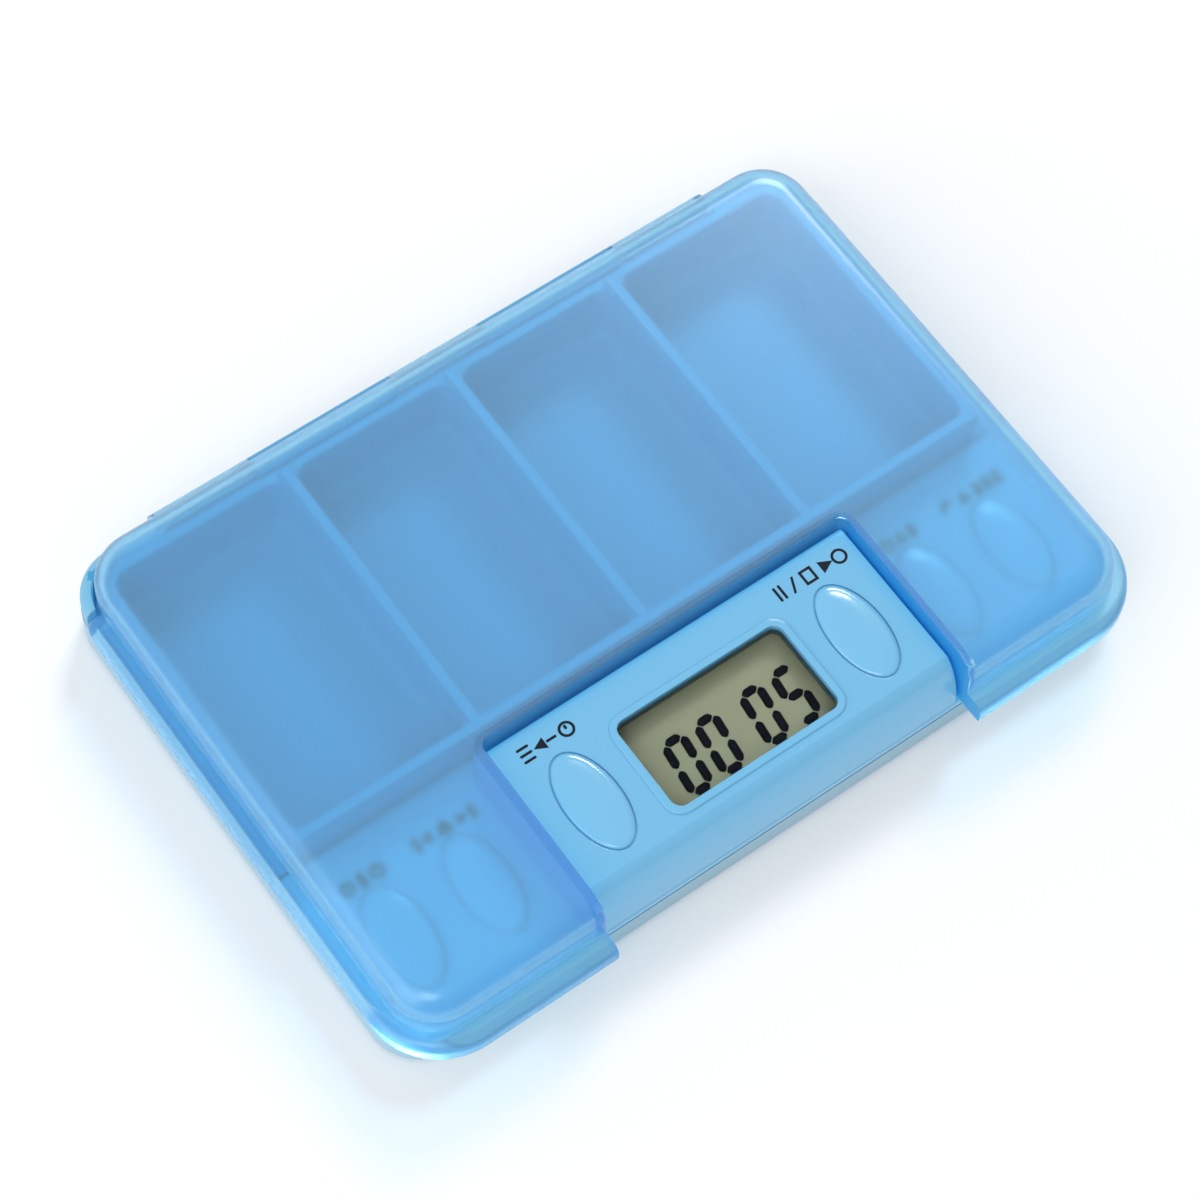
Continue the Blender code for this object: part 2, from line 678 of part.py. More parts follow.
def make_panel():
    """Two low wings and the raised block, with the window, the button holes and bosses."""
    panel = plate("control_panel", rounded_box(
        -CASE_HALF, CASE_HALF, CASE_FRONT_Y, PANEL_REAR_Y, CASE_CORNER_R, TRAY_FRONT_R),
        PANEL_UNDER_Z, SEAT_Z)
    soften(panel, PANEL_EDGE_R, 2, at_height(SEAT_Z))
    block = side_plate("raised_block", nose_profile(0, PANEL_UNDER_Z - LAP, BLOCK_EDGE_R),
                       -BLOCK_HALF, BLOCK_HALF)
    soften(block, BLOCK_SIDE_R, 3, lambda middle, edge: abs(abs(middle.x) - BLOCK_HALF) < WELD
           and middle.z > SEAT_Z)
    join(panel, block)
    cut(panel, box("underside_cut", -CASE_WIDTH, CASE_WIDTH, CASE_FRONT_Y - OVERRUN, TRAY_FRONT_Y,
                   -OVERRUN, PANEL_UNDER_Z))
    inset = RIM_INSET
    join(panel, plate("locating_rim", rounded_box(
        -CASE_HALF + inset, CASE_HALF - inset, CASE_FRONT_Y + inset, PANEL_REAR_Y,
        CASE_CORNER_R - inset, TRAY_FRONT_R), PANEL_UNDER_Z - RIM_DROP, SEAT_Z - PANEL_T / 2,
        hole=rounded_box(-CASE_HALF + inset + RIM_T, CASE_HALF - inset - RIM_T,
                         CASE_FRONT_Y + inset + RIM_T, PANEL_REAR_Y - RIM_T,
                         CASE_CORNER_R - inset - RIM_T)))
    bosses = [rod("boss", BOSS_R, (x, y, POST_TOP_Z + GAP), (x, y, SEAT_Z - PANEL_T / 2), 16)
              for x, y in SCREW_PLACES]
    join(panel, gathered("screw_bosses", bosses))
    cut(panel, side_plate("block_hollow", nose_profile(SKIN_T, -OVERRUN, BLOCK_EDGE_R / 2),
                          -BLOCK_HALF + SKIN_T, BLOCK_HALF - SKIN_T))
    # The window stands in a low raised ring
    grow = RING_WIDTH
    ring = plate("window_ring", window_outline(grow), BLOCK_TOP_Z - SKIN_T / 2,
                 BLOCK_TOP_Z + RING_RISE)
    soften(ring, RING_RISE / 2, 2, at_height(BLOCK_TOP_Z + RING_RISE))
    join(panel, ring)
    cut(panel, plate("window_cut", window_outline(0), BLOCK_ROOF_Z - OVERRUN,
                     BLOCK_TOP_Z + OVERRUN))
    gap = BUTTON_GAP * 2
    holes = []
    for name, (x, y) in BUTTON_PLACES.items():
        low = BLOCK_ROOF_Z - GAP if name in BLOCK_BUTTONS else PANEL_UNDER_Z - GAP
        holes.append(plate("hole", oval(x, y, BUTTON_WIDTH + gap, BUTTON_LENGTH + gap),
                           low, BLOCK_TOP_Z + OVERRUN))
    cut(panel, gathered("button_holes", holes))
    pilots = [rod("pilot", SCREW_R + SCREW_FIT, (x, y, 0), (x, y, SEAT_Z - BOSS_ROOF_T), 12)
              for x, y in SCREW_PLACES]
    cut(panel, gathered("pilot_holes", pilots))
    return finish(panel, "panel_blue")


def window_outline(grow):
    """Outline of the display window, grown all round."""
    return rounded_box(-WINDOW_WIDTH / 2 - grow, WINDOW_WIDTH / 2 + grow,
                       WINDOW_Y - WINDOW_DEPTH / 2 - grow, WINDOW_Y + WINDOW_DEPTH / 2 + grow,
                       WINDOW_R + grow)


# The lid
def make_lid():
    """Frosted lid: rounded body, flared lower band, front notch with skirts, knuckles."""
    lid = plate("lid", rounded_box(-LID_HALF, LID_HALF, LID_FRONT_Y, LID_REAR_Y, LID_CORNER_R),
                LID_BOTTOM_Z + LAP, LID_TOP_Z)
    soften(lid, LID_SHOULDER_R, 6, at_height(LID_TOP_Z))
    band = plate("lid_band", rounded_box(-BAND_HALF, BAND_HALF, BAND_FRONT_Y, BAND_REAR_Y,
                                         BAND_CORNER_R, BAND_REAR_R), LID_BOTTOM_Z, LID_BODY_Z)
    soften(band, BAND_EDGE_R, 3, at_height(LID_BODY_Z))
    join(lid, band)
    # Between its rear corners the lid stops higher up, to swing clear of the tray
    cut(lid, box("rear_cut", -REAR_CUT_HALF, REAR_CUT_HALF, REAR_CUT_Y, CASE_REAR_Y + OVERRUN,
                 0, LID_BODY_Z + LAP))
    inside = plate("lid_inside", rounded_box(
        -LID_HALF + LID_WALL_T, LID_HALF - LID_WALL_T, LID_FRONT_Y + LID_WALL_T,
        LID_REAR_Y - LID_WALL_T, LID_CORNER_R - LID_WALL_T), 0, LID_ROOF_Z)
    soften(inside, LID_SHOULDER_R - LID_WALL_T, 4, at_height(LID_ROOF_Z))
    cut(lid, inside)
    cut(lid, plate("band_inside", rounded_box(
        -BAND_HALF + LID_WALL_T, BAND_HALF - LID_WALL_T, LID_FRONT_Y + LID_WALL_T,
        BAND_REAR_Y - LID_WALL_T, BAND_CORNER_R - LID_WALL_T, BAND_REAR_R - LID_WALL_T),
        0, BAND_ROOF_Z))
    # Skirt walls hang round the notch
    skirt = NOTCH_HALF + SKIRT_T
    join(lid, plate("skirt_wall", rounded_box(
        -skirt, skirt, LID_FRONT_Y + LID_WALL_T / 2, NOTCH_REAR_Y + SKIRT_T, 0,
        NOTCH_CORNER_R + SKIRT_T), LID_BOTTOM_Z, LID_ROOF_Z + LID_WALL_T / 2))
    cut(lid, plate("notch_cut", rounded_box(
        -NOTCH_HALF, NOTCH_HALF, BAND_FRONT_Y - OVERRUN, NOTCH_REAR_Y, 0, NOTCH_CORNER_R),
        0, LID_TOP_Z + OVERRUN))
    add_lid_knuckles(lid)
    return finish(lid, "lid_frost", (0, HINGE_Y, HINGE_Z))


def add_lid_knuckles(lid):
    """The rear wall opens over the base's knuckles and carries three of its own."""
    wall_z = HINGE_Z + BARREL_R + KNUCKLE_GAP
    rear_y = CASE_REAR_Y - HOUSING_REAR_GAP
    top_z = wall_z + LAP
    cut(lid, box("knuckle_gap", -HINGE_HALF, HINGE_HALF, LID_REAR_Y - LID_WALL_T * 2,
                 LID_REAR_Y + OVERRUN, 0, wall_z))
    spans = {"centre": (-CENTRE_KNUCKLE_HALF, CENTRE_KNUCKLE_HALF),
             "left": (-HINGE_HALF - KNUCKLE_GAP, -OUTER_KNUCKLE_X),
             "right": (OUTER_KNUCKLE_X, HINGE_HALF + KNUCKLE_GAP)}
    for name, (x0, x1) in spans.items():
        housing = box("knuckle_housing_" + name, x0, x1, LID_REAR_Y - LID_WALL_T, rear_y,
                      HINGE_Z, top_z)
        soften(housing, HOUSING_EDGE_R, 3, lambda middle, edge: abs(middle.y - rear_y) < WELD
               and abs(middle.z - top_z) < WELD)
        join(lid, housing)
        join(lid, rod("lid_barrel_" + name, BARREL_R, (x0, HINGE_Y, HINGE_Z),
                      (x1, HINGE_Y, HINGE_Z)))
    cut(lid, rod("lid_bore", PIN_R + PIN_FIT, (-BORE_HALF, HINGE_Y, HINGE_Z),
                 (BORE_HALF, HINGE_Y, HINGE_Z)))


def make_pin():
    """Steel pin held between the outer knuckles' closed ends."""
    half = BORE_HALF - PIN_END_GAP
    pin = rod("hinge_pin", PIN_R, (-half, HINGE_Y, HINGE_Z), (half, HINGE_Y, HINGE_Z))
    return finish(pin, "pin_steel", (0, HINGE_Y, HINGE_Z))


# The buttons
def make_button(name, x, y):
    """Oval cap with a retaining flange, and a stem where the block lifts it off the board."""
    high = name in BLOCK_BUTTONS
    surface, under = (BLOCK_TOP_Z, BLOCK_ROOF_Z) if high else (SEAT_Z, PANEL_UNDER_Z)
    flange_top = under - FLANGE_GAP
    cap = plate(name, oval(x, y, BUTTON_WIDTH, BUTTON_LENGTH), flange_top - FLANGE_T / 2,
                surface + BUTTON_RISE)
    soften(cap, BUTTON_EDGE_R, 3, at_height(surface + BUTTON_RISE))
    out = FLANGE_OUT * 2
    join(cap, plate(name + "_flange", oval(x, y, BUTTON_WIDTH + out, BUTTON_LENGTH + out),
                    flange_top - FLANGE_T, flange_top))
    foot = DOME_TOP_Z + TRAVEL_GAP
    if flange_top - FLANGE_T > foot:
        join(cap, box(name + "_stem", x - STEM_WIDTH / 2, x + STEM_WIDTH / 2,
                      y - STEM_LENGTH / 2, y + STEM_LENGTH / 2, foot, flange_top - FLANGE_T / 2))
    return finish(cap, "button_blue", (x, y, surface))


# The electronics
def board_outline(inset):
    """Outline of the board inside the front bay."""
    return rounded_box(-CASE_HALF + WALL_T + inset, CASE_HALF - WALL_T - inset,
                       CASE_FRONT_Y + WALL_T + inset, TRAY_FRONT_Y - inset,
                       BOARD_CORNER_R, TRAY_FRONT_R)


def make_board():
    """Printed circuit board, cut out for the battery well and the screw posts."""
    board = plate("circuit_board", board_outline(BOARD_INSET), BOARD_Z, BOARD_TOP_Z)
    half = WELL_HALF + WELL_T + GAP
    depth = WELL_DEPTH + WELL_T + GAP
    cut(board, plate("board_well", rounded_box(-half, half, CELLS_Y - depth, CELLS_Y + depth,
                                               WELL_R + WELL_T + GAP),
                     BOARD_Z - OVERRUN, BOARD_TOP_Z + OVERRUN))
    radius = max(POST_R, BOSS_R) + GAP
    clearances = [rod("clearance", radius, (x, y, 0), (x, y, BOARD_TOP_Z + OVERRUN), 16)
                  for x, y in SCREW_PLACES]
    cut(board, gathered("board_posts", clearances))
    return finish(board, "board_green")


def make_dome_sheet(name, side):
    """Film with a snap dome under each of one side's three buttons."""
    x0 = BLOCK_BUTTON_X - DOME_R - SHEET_MARGIN / 2
    x1 = OUTER_BUTTON_X + DOME_R + SHEET_MARGIN / 2
    low, high = sorted((side * x0, side * x1))
    y0 = min(WING_BUTTON_Y, BLOCK_BUTTON_Y) - DOME_R - SHEET_MARGIN / 2
    y1 = max(WING_BUTTON_Y, BLOCK_BUTTON_Y) + DOME_R + SHEET_MARGIN / 2
    sheet = plate(name, rounded_box(low, high, y0, y1, SHEET_MARGIN / 2), SHEET_Z,
                  SHEET_Z + SHEET_T)
    domes = []
    for x, y in BUTTON_PLACES.values():
        if x * side > 0:
            domes.append(rod("dome", DOME_R, (x, y, SHEET_Z + SHEET_T / 2), (x, y, DOME_TOP_Z),
                             16, DOME_R / 2))
    join(sheet, gathered(name + "_domes", domes))
    return finish(sheet, "dome_film")


def make_lens():
    """Clear window: a plug in the opening and a flange under the block's skin."""
    lens = plate("display_lens", window_outline(LENS_FLANGE), LENS_Z, LENS_Z + LENS_FLANGE_T)
    join(lens, plate("lens_plug", window_outline(-LENS_GAP), LENS_Z + LENS_FLANGE_T / 2,
                     BLOCK_TOP_Z - LENS_SINK))
    return finish(lens, "window_clear")


def make_display():
    """Glass, reflector behind it, holder round both and the connector strip in front."""
    edge = GLASS_R
    glass = plate("lcd_glass", rounded_box(-GLASS_HALF, GLASS_HALF, GLASS_FRONT_Y,
                                           GLASS_REAR_Y, edge), GLASS_Z, GLASS_Z + GLASS_T)
    finish(glass, "display_glass")
    front = ZEBRA_REAR_Y + GAP
    backing = plate("lcd_backing", rounded_box(-GLASS_HALF, GLASS_HALF, front, GLASS_REAR_Y,
                                               edge), BACKING_Z, BACKING_Z + BACKING_T)
    finish(backing, "reflector_grey")
    inner = GLASS_HALF + GAP
    outer = inner + HOLDER_T
    y0, y1 = front, GLASS_REAR_Y + GAP + HOLDER_T
    foot_y = CELLS_Y + WELL_DEPTH + WELL_T
    base = BACKING_Z
    holder = plate("lcd_holder", rounded_box(-outer, outer, y0, max(y1, foot_y), edge),
                   base, LENS_Z - GAP)
    cut(holder, box("holder_cut", -inner, inner, CASE_FRONT_Y, GLASS_REAR_Y + GAP,
                    base - OVERRUN, LENS_Z + OVERRUN))
    feet = []
    for side in (-1, 1):
        x0, x1 = sorted((side * (outer - HOLDER_FOOT), side * outer))
        feet.append(box("foot", x0, x1, foot_y - HOLDER_FOOT, foot_y, WELL_TOP_Z + GAP,
                        base + LAP))
    join(holder, gathered("holder_feet", feet))
    finish(holder, "holder_white")
    half = ZEBRA_WIDTH / 2
    zebra = box("zebra_strip", -half, half, GLASS_FRONT_Y, GLASS_FRONT_Y + ZEBRA_T, PART_Z,
                GLASS_Z - GAP)
    finish(zebra, "zebra_rubber")


def make_board_parts():
    """Potted chip, crystal, buzzer and three small capacitors on the board."""
    steps = 5
    profile = [(0, CHIP_RISE)]
    for step in range(1, steps + 1):
        angle = math.pi / 2 * step / steps
        profile.append((CHIP_R * math.sin(angle), CHIP_RISE * math.cos(angle)))
    place = (BLOCK_BUTTON_X, BLOCK_BUTTON_Y - CHIP_STEP, PART_Z)
    chip = turned("chip_blob", profile + [(0, 0)], place, 20)
    finish(chip, "chip_epoxy")
    height = PART_Z + CRYSTAL_R
    reach = CRYSTAL_LENGTH / 2
    y = BLOCK_BUTTON_Y + CRYSTAL_STEP
    crystal = rod("crystal_can", CRYSTAL_R, (BLOCK_BUTTON_X - reach, y, height),
                  (BLOCK_BUTTON_X + reach, y, height), 16)
    finish(crystal, "can_metal")
    x, y = -BLOCK_BUTTON_X, BLOCK_BUTTON_Y + BUZZER_STEP
    buzzer = rod("buzzer", BUZZER_R, (x, y, PART_Z), (x, y, PART_Z + BUZZER_HEIGHT))
    cut(buzzer, rod("buzzer_port", BUZZER_HOLE_R, (x, y, PART_Z + BUZZER_HEIGHT / 2),
                    (x, y, PART_Z + BUZZER_HEIGHT + OVERRUN), 12))
    finish(buzzer, "buzzer_black")
    width, length, rise = CAPACITOR_SIZE
    y = BLOCK_BUTTON_Y - CAPACITOR_STEP
    for count in range(3):
        x = -BLOCK_BUTTON_X + CAPACITOR_PITCH * (1 - count)
        chip = box("capacitor_" + str(count + 1), x - width / 2, x + width / 2,
                   y - length / 2, y + length / 2, PART_Z, PART_Z + rise)
        finish(chip, "capacitor_tan")


# The power supply
def make_cell(name, x, flipped):
    """Button cell turned from its profile: can, and a smaller raised cap on one face."""
    top = CELL_HEIGHT
    edge = CELL_EDGE_R
    profile = [(0, top), (CELL_CAP_R, top), (CELL_CAP_R, top - CELL_CAP_RISE),
               (CELL_R - edge, top - CELL_CAP_RISE), (CELL_R, top - CELL_CAP_RISE - edge),
               (CELL_R, edge), (CELL_R - edge, 0), (0, 0)]
    if flipped:
        profile = [(radius, top - height) for radius, height in reversed(profile)]
    cell = turned(name, profile, (x, CELLS_Y, CELL_Z), 32)
    return finish(cell, "cell_steel")


def make_contact(name, side):
    """Spring strip over a cell, bent down outside the well's rear wall to the board."""
    y0 = CELLS_Y - CONTACT_REACH
    y1 = CELLS_Y + WELL_DEPTH + WELL_T + GAP
    low, high = CONTACT_Z, CONTACT_Z + CONTACT_T
    profile = [(y0, low), (y1, low), (y1, PART_Z), (y1 + CONTACT_T, PART_Z),
               (y1 + CONTACT_T, high), (y0, high)]
    middle = side * (CELL_R + CELL_GAP / 2)
    strip = side_plate(name, profile, middle - CONTACT_WIDTH / 2, middle + CONTACT_WIDTH / 2)
    return finish(strip, "contact_nickel")


def make_door():
    """Flush door in the floor, with a finger catch, and the link strip on its inside."""
    half = WELL_HALF - DOOR_GAP
    depth = WELL_DEPTH - DOOR_GAP
    radius = WELL_R - DOOR_GAP
    door = plate("battery_door", rounded_box(-half, half, CELLS_Y - depth, CELLS_Y + depth,
                                             radius), 0, FLOOR_T)
    middle = CELLS_Y - depth + DOOR_CATCH_DEPTH * 2
    cut(door, box("door_catch", -DOOR_CATCH_WIDTH / 2, DOOR_CATCH_WIDTH / 2,
                  middle - DOOR_CATCH_DEPTH / 2, middle + DOOR_CATCH_DEPTH / 2,
                  -OVERRUN, DOOR_CATCH_SINK))
    finish(door, "door_blue", (0, CELLS_Y, 0))
    reach = CELL_R + CELL_GAP / 2 + BRIDGE_WIDTH / 2
    bridge = plate("contact_bridge", rounded_box(
        -reach, reach, CELLS_Y - BRIDGE_WIDTH / 2, CELLS_Y + BRIDGE_WIDTH / 2, WELL_R),
        BRIDGE_Z, BRIDGE_Z + CONTACT_T)
    finish(bridge, "contact_nickel", (0, CELLS_Y, BRIDGE_Z))


def make_screw(name, x, y):
    """Slotted screw: head sunk in the floor, shank up into the cover's boss."""
    base = SCREW_HEAD_SINK
    tip = SEAT_Z - BOSS_ROOF_T - SCREW_TIP_GAP
    screw = rod(name, SCREW_HEAD_R, (x, y, base), (x, y, base + SCREW_HEAD_T), 16)
    join(screw, rod(name + "_shank", SCREW_R, (x, y, base + SCREW_HEAD_T / 2), (x, y, tip), 12))
    cut(screw, box(name + "_slot", x - SCREW_HEAD_R - GAP, x + SCREW_HEAD_R + GAP,
                   y - SCREW_SLOT_T / 2, y + SCREW_SLOT_T / 2, base - OVERRUN,
                   base + SCREW_SLOT_DEPTH))
    return finish(screw, "screw_steel", (x, y, base))


clear_scene()
parts = new_collection("pill_organizer")
cutters = new_collection("cutters")
make_tray()
make_panel()
make_lid()
make_pin()
for button_name, (button_x, button_y) in BUTTON_PLACES.items():
    make_button(button_name, button_x, button_y)
make_board()
make_dome_sheet("dome_sheet_left", -1)
make_dome_sheet("dome_sheet_right", 1)
make_lens()
make_display()
make_board_parts()
make_cell("cell_left", -CELL_R - CELL_GAP / 2, False)
make_cell("cell_right", CELL_R + CELL_GAP / 2, True)
make_contact("contact_positive", -1)
make_contact("contact_negative", 1)
make_door()
for count, (screw_x, screw_y) in enumerate(SCREW_PLACES):
    make_screw("case_screw_" + str(count + 1), screw_x, screw_y)
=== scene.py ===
# %% [markdown]
# # Pill organizer with a timer
#
# The real object is a flat moulded box. Four deep compartments fill its rear two thirds, a small timer
# fills the front third, and a frosted lid is hinged along the rear edge. This lesson dresses its packed
# solids for a render. Every cell makes one piece or one finish.

# %% Load the frame
import math

import bmesh
import bpy
from mathutils import Matrix, Vector


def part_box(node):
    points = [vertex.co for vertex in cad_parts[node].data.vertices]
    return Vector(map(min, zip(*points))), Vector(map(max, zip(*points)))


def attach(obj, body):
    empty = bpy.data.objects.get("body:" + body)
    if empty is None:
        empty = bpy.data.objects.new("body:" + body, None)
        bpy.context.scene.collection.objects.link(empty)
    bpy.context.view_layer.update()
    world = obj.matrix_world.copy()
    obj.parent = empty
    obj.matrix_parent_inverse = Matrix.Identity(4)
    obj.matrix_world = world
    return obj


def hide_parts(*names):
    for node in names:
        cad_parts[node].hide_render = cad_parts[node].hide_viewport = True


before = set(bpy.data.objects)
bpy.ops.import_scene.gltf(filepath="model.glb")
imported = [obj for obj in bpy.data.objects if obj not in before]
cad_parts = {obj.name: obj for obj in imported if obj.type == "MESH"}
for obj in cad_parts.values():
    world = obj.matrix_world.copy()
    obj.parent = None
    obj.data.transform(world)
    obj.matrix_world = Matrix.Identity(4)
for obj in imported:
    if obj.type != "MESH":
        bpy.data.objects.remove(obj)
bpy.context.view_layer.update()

# %% [markdown]
# ## Sizes
#
# The main planes come from the solids' own boxes, so each fine piece lies where its solid lies. The few
# walls and fillets that a box can't tell are named here, in metres.

# %% Read the main planes
case_low, case_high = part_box("tray_base")
lid_low, lid_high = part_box("lid")
cover_low, cover_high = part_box("control_panel")
lens_low, lens_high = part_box("display_lens")
glass_low, glass_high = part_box("lcd_glass")
pin_low, pin_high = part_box("hinge_pin")

GAP = 0.0003
LID_WALL_T = 0.0011
LID_CORNER_R = 0.006
FLOOR_T = 0.0012
WALL_T = 0.0012
LEDGE_WIDTH = 0.0029
CASE_HALF = case_high.x
CASE_CORNER_R = 0.0062
SEAM_Z = 0.0039
LID_SEAT_GAP = 0.0004
SEAT_Z = lid_low.z - LID_SEAT_GAP
TRAY_HALF = CASE_HALF - LEDGE_WIDTH
TRAY_REAR_Y = case_high.y - LEDGE_WIDTH
OVERRUN = 0.004
LAP = 0.0004
WELD = 0.000001
print("case", round(CASE_HALF * 2, 4), "seat", round(SEAT_Z, 5))

# %% [markdown]
# ## Camera
#
# The photograph looks down from the front left with a long lens. The camera's place and the two axes of
# its picture were worked out from the box's parallel edges, with nothing shifted. The third axis follows
# from them. The photograph is a plain picture, so no film-like tone curve is laid over the render.

# %% Place the camera
CAMERA_PLACE = Vector((-0.1120, -0.1325, 0.34235))
CAMERA_RIGHT = Vector((0.8118, -0.5827, 0.0377))
CAMERA_UP = Vector((0.5051, 0.7332, 0.4553))
CAMERA_LENS = 102.3
CAMERA_SENSOR = 36.0
CAMERA_NEAR = 0.01


def make_camera():
    """A camera that looks along its own -Z, with its axes squared up."""
    data = bpy.data.cameras.new("photo_camera")
    data.lens = CAMERA_LENS
    data.sensor_width = CAMERA_SENSOR
    data.clip_start = CAMERA_NEAR
    camera = bpy.data.objects.new("photo_camera", data)
    right = CAMERA_RIGHT.normalized()
    back = right.cross(CAMERA_UP).normalized()
    up = back.cross(right)
    turn = Matrix((right, up, back)).transposed().to_4x4()
    camera.matrix_world = Matrix.Translation(CAMERA_PLACE) @ turn
    bpy.context.scene.collection.objects.link(camera)
    bpy.context.scene.camera = camera
    return camera


camera = make_camera()
bpy.context.scene.view_settings.view_transform = "Standard"
print("camera", [round(value, 4) for value in camera.location], "lens", CAMERA_LENS)

# %% [markdown]
# ## Drawing outlines
#
# Nearly every moulded piece here is a plate with rounded corners. A filled 2D curve makes such a plate in
# one step, with holes if it has more than one outline. Boxes and rods come straight from a bmesh, and a
# loft joins level outlines into a skin.

# %% Outline helpers
CORNER_STEPS = 14
OVAL_STEPS = 72


def rounded_box(x0, x1, y0, y1, front_r, rear_r=None, steps=CORNER_STEPS):
    """Outline of a rectangle with one radius at the front corners and one at the rear."""
    rear_r = front_r if rear_r is None else rear_r
    corners = [(x1 - front_r, y0 + front_r, front_r, -90), (x1 - rear_r, y1 - rear_r, rear_r, 0),
               (x0 + rear_r, y1 - rear_r, rear_r, 90), (x0 + front_r, y0 + front_r, front_r, 180)]
    points = []
    for cx, cy, radius, start in corners:
        if radius <= 0:
            points.append((cx, cy))
            continue
        for step in range(steps + 1):
            angle = math.radians(start + 90 * step / steps)
            points.append((cx + radius * math.cos(angle), cy + radius * math.sin(angle)))
    return points


def oval(x, y, width, length, steps=OVAL_STEPS):
    """Outline of an ellipse."""
    turn = 2 * math.pi / steps
    return [(x + width / 2 * math.cos(turn * k), y + length / 2 * math.sin(turn * k))
            for k in range(steps)]


print("points in a rounded corner", CORNER_STEPS + 1, "and in an oval", OVAL_STEPS)

# %% [markdown]
# ## From outline to plate
#
# A 2D curve fills its outlines and gives them a thickness by itself. Its mesh is welded, and the flat
# triangles are dissolved into wide faces, so that later cuts stay clean. The place goes into the mesh,
# since a finished piece has to lie untransformed at the origin.

# %% Make plates
FLAT_ANGLE = math.radians(0.2)


def flat_mesh(name, outlines, thickness, place):
    """A filled 2D curve, thickened, turned into a welded mesh with its place in it."""
    curve = bpy.data.curves.new(name + "_curve", "CURVE")
    curve.dimensions = "2D"
    curve.fill_mode = "BOTH"
    curve.extrude = thickness / 2
    for points in outlines:
        spline = curve.splines.new("POLY")
        spline.points.add(len(points) - 1)
        for point, (x, y) in zip(spline.points, points):
            point.co = (x, y, 0, 1)
        spline.use_cyclic_u = True
    shape = bpy.data.objects.new(name + "_shape", curve)
    bpy.context.scene.collection.objects.link(shape)
    graph = bpy.context.evaluated_depsgraph_get()
    mesh = bpy.data.meshes.new_from_object(shape.evaluated_get(graph))
    bpy.data.objects.remove(shape)
    bpy.data.curves.remove(curve)
    mesh.transform(place)
    work = bmesh.new()
    work.from_mesh(mesh)
    bmesh.ops.remove_doubles(work, verts=work.verts, dist=WELD)
    bmesh.ops.dissolve_limit(work, angle_limit=FLAT_ANGLE, verts=work.verts, edges=work.edges)
    bmesh.ops.recalc_face_normals(work, faces=work.faces)
    bpy.data.meshes.remove(mesh)
    return as_object(name, work)


def as_object(name, work):
    """Put a bmesh into a new object at the origin."""
    mesh = bpy.data.meshes.new(name)
    work.to_mesh(mesh)
    work.free()
    piece = bpy.data.objects.new(name, mesh)
    bpy.context.scene.collection.objects.link(piece)
    return piece


def plate(name, outline, z0, z1, *holes):
    """A plate between two heights."""
    return flat_mesh(name, [outline, *holes], z1 - z0, Matrix.Translation((0, 0, (z0 + z1) / 2)))


def side_plate(name, outline, x0, x1):
    """A plate between two places along X, drawn with (Y, Z) points."""
    turn = Matrix(((0, 0, 1, (x0 + x1) / 2), (1, 0, 0, 0), (0, 1, 0, 0), (0, 0, 0, 1)))
    return flat_mesh(name, [outline], x1 - x0, turn)


print("plates are welded at", WELD)

# %% [markdown]
# ## Boxes, lofts and rods
#
# A box cuts or joins along straight lines, a rod makes the hinge's barrels and bores, and a loft joins
# level outlines into a closed skin, which suits shapes that swell and shrink all round.

# %% Make boxes, lofts and rods
ROD_STEPS = 48
POST_STEPS = 32


def box(name, x0, x1, y0, y1, z0, z1):
    """A plain box, used only to cut or to join."""
    work = bmesh.new()
    place = Matrix.Translation(((x0 + x1) / 2, (y0 + y1) / 2, (z0 + z1) / 2))
    bmesh.ops.create_cube(work, size=1, matrix=place @ Matrix.Diagonal((x1 - x0, y1 - y0, z1 - z0, 1)))
    return as_object(name, work)


def loft(name, levels):
    """A closed skin through level outlines that all have the same number of points."""
    work = bmesh.new()
    rings = [[work.verts.new((x, y, z)) for x, y in outline] for outline, z in levels]
    for upper, lower in zip(rings, rings[1:]):
        for corners in zip(upper, upper[1:] + upper[:1], lower[1:] + lower[:1], lower):
            work.faces.new(corners)
    work.faces.new(rings[0])
    work.faces.new(rings[-1])
    bmesh.ops.recalc_face_normals(work, faces=work.faces)
    return as_object(name, work)


def rod(name, radius, x0, x1, y, z, steps=ROD_STEPS):
    """A cylinder along X."""
    work = bmesh.new()
    place = Matrix.Translation(((x0 + x1) / 2, y, z)) @ Matrix.Rotation(math.pi / 2, 4, "Y")
    bmesh.ops.create_cone(work, cap_ends=True, segments=steps, radius1=radius, radius2=radius,
                          depth=x1 - x0, matrix=place)
    return as_object(name, work)


def post(name, radius, x, y, z0, z1, steps=POST_STEPS):
    """A cylinder along Z."""
    work = bmesh.new()
    bmesh.ops.create_cone(work, cap_ends=True, segments=steps, radius1=radius, radius2=radius,
                          depth=z1 - z0, matrix=Matrix.Translation((x, y, (z0 + z1) / 2)))
    return as_object(name, work)


print("sides of a rod", ROD_STEPS, "and of a post", POST_STEPS)

# %% [markdown]
# ## Cutting and joining
#
# Mould makers think in pockets and bosses, and Booleans say the same thing in mesh code. The exact solver
# is applied at once, so each piece stays a plain mesh and no modifier is left to go wrong.

# %% Cut and join


def change(piece, tool, operation):
    """Apply a Boolean with a tool, and remove the tool."""
    step = piece.modifiers.new("change", "BOOLEAN")
    step.operation = operation
    step.object = tool
    step.solver = "EXACT"
    graph = bpy.context.evaluated_depsgraph_get()
    mesh = bpy.data.meshes.new_from_object(piece.evaluated_get(graph))
    piece.modifiers.clear()
    old, used = piece.data, tool.data
    piece.data = mesh
    bpy.data.meshes.remove(old)
    bpy.data.objects.remove(tool)
    bpy.data.meshes.remove(used)
    return piece


def cut(piece, tool):
    """Take the tool's solid away."""
    return change(piece, tool, "DIFFERENCE")


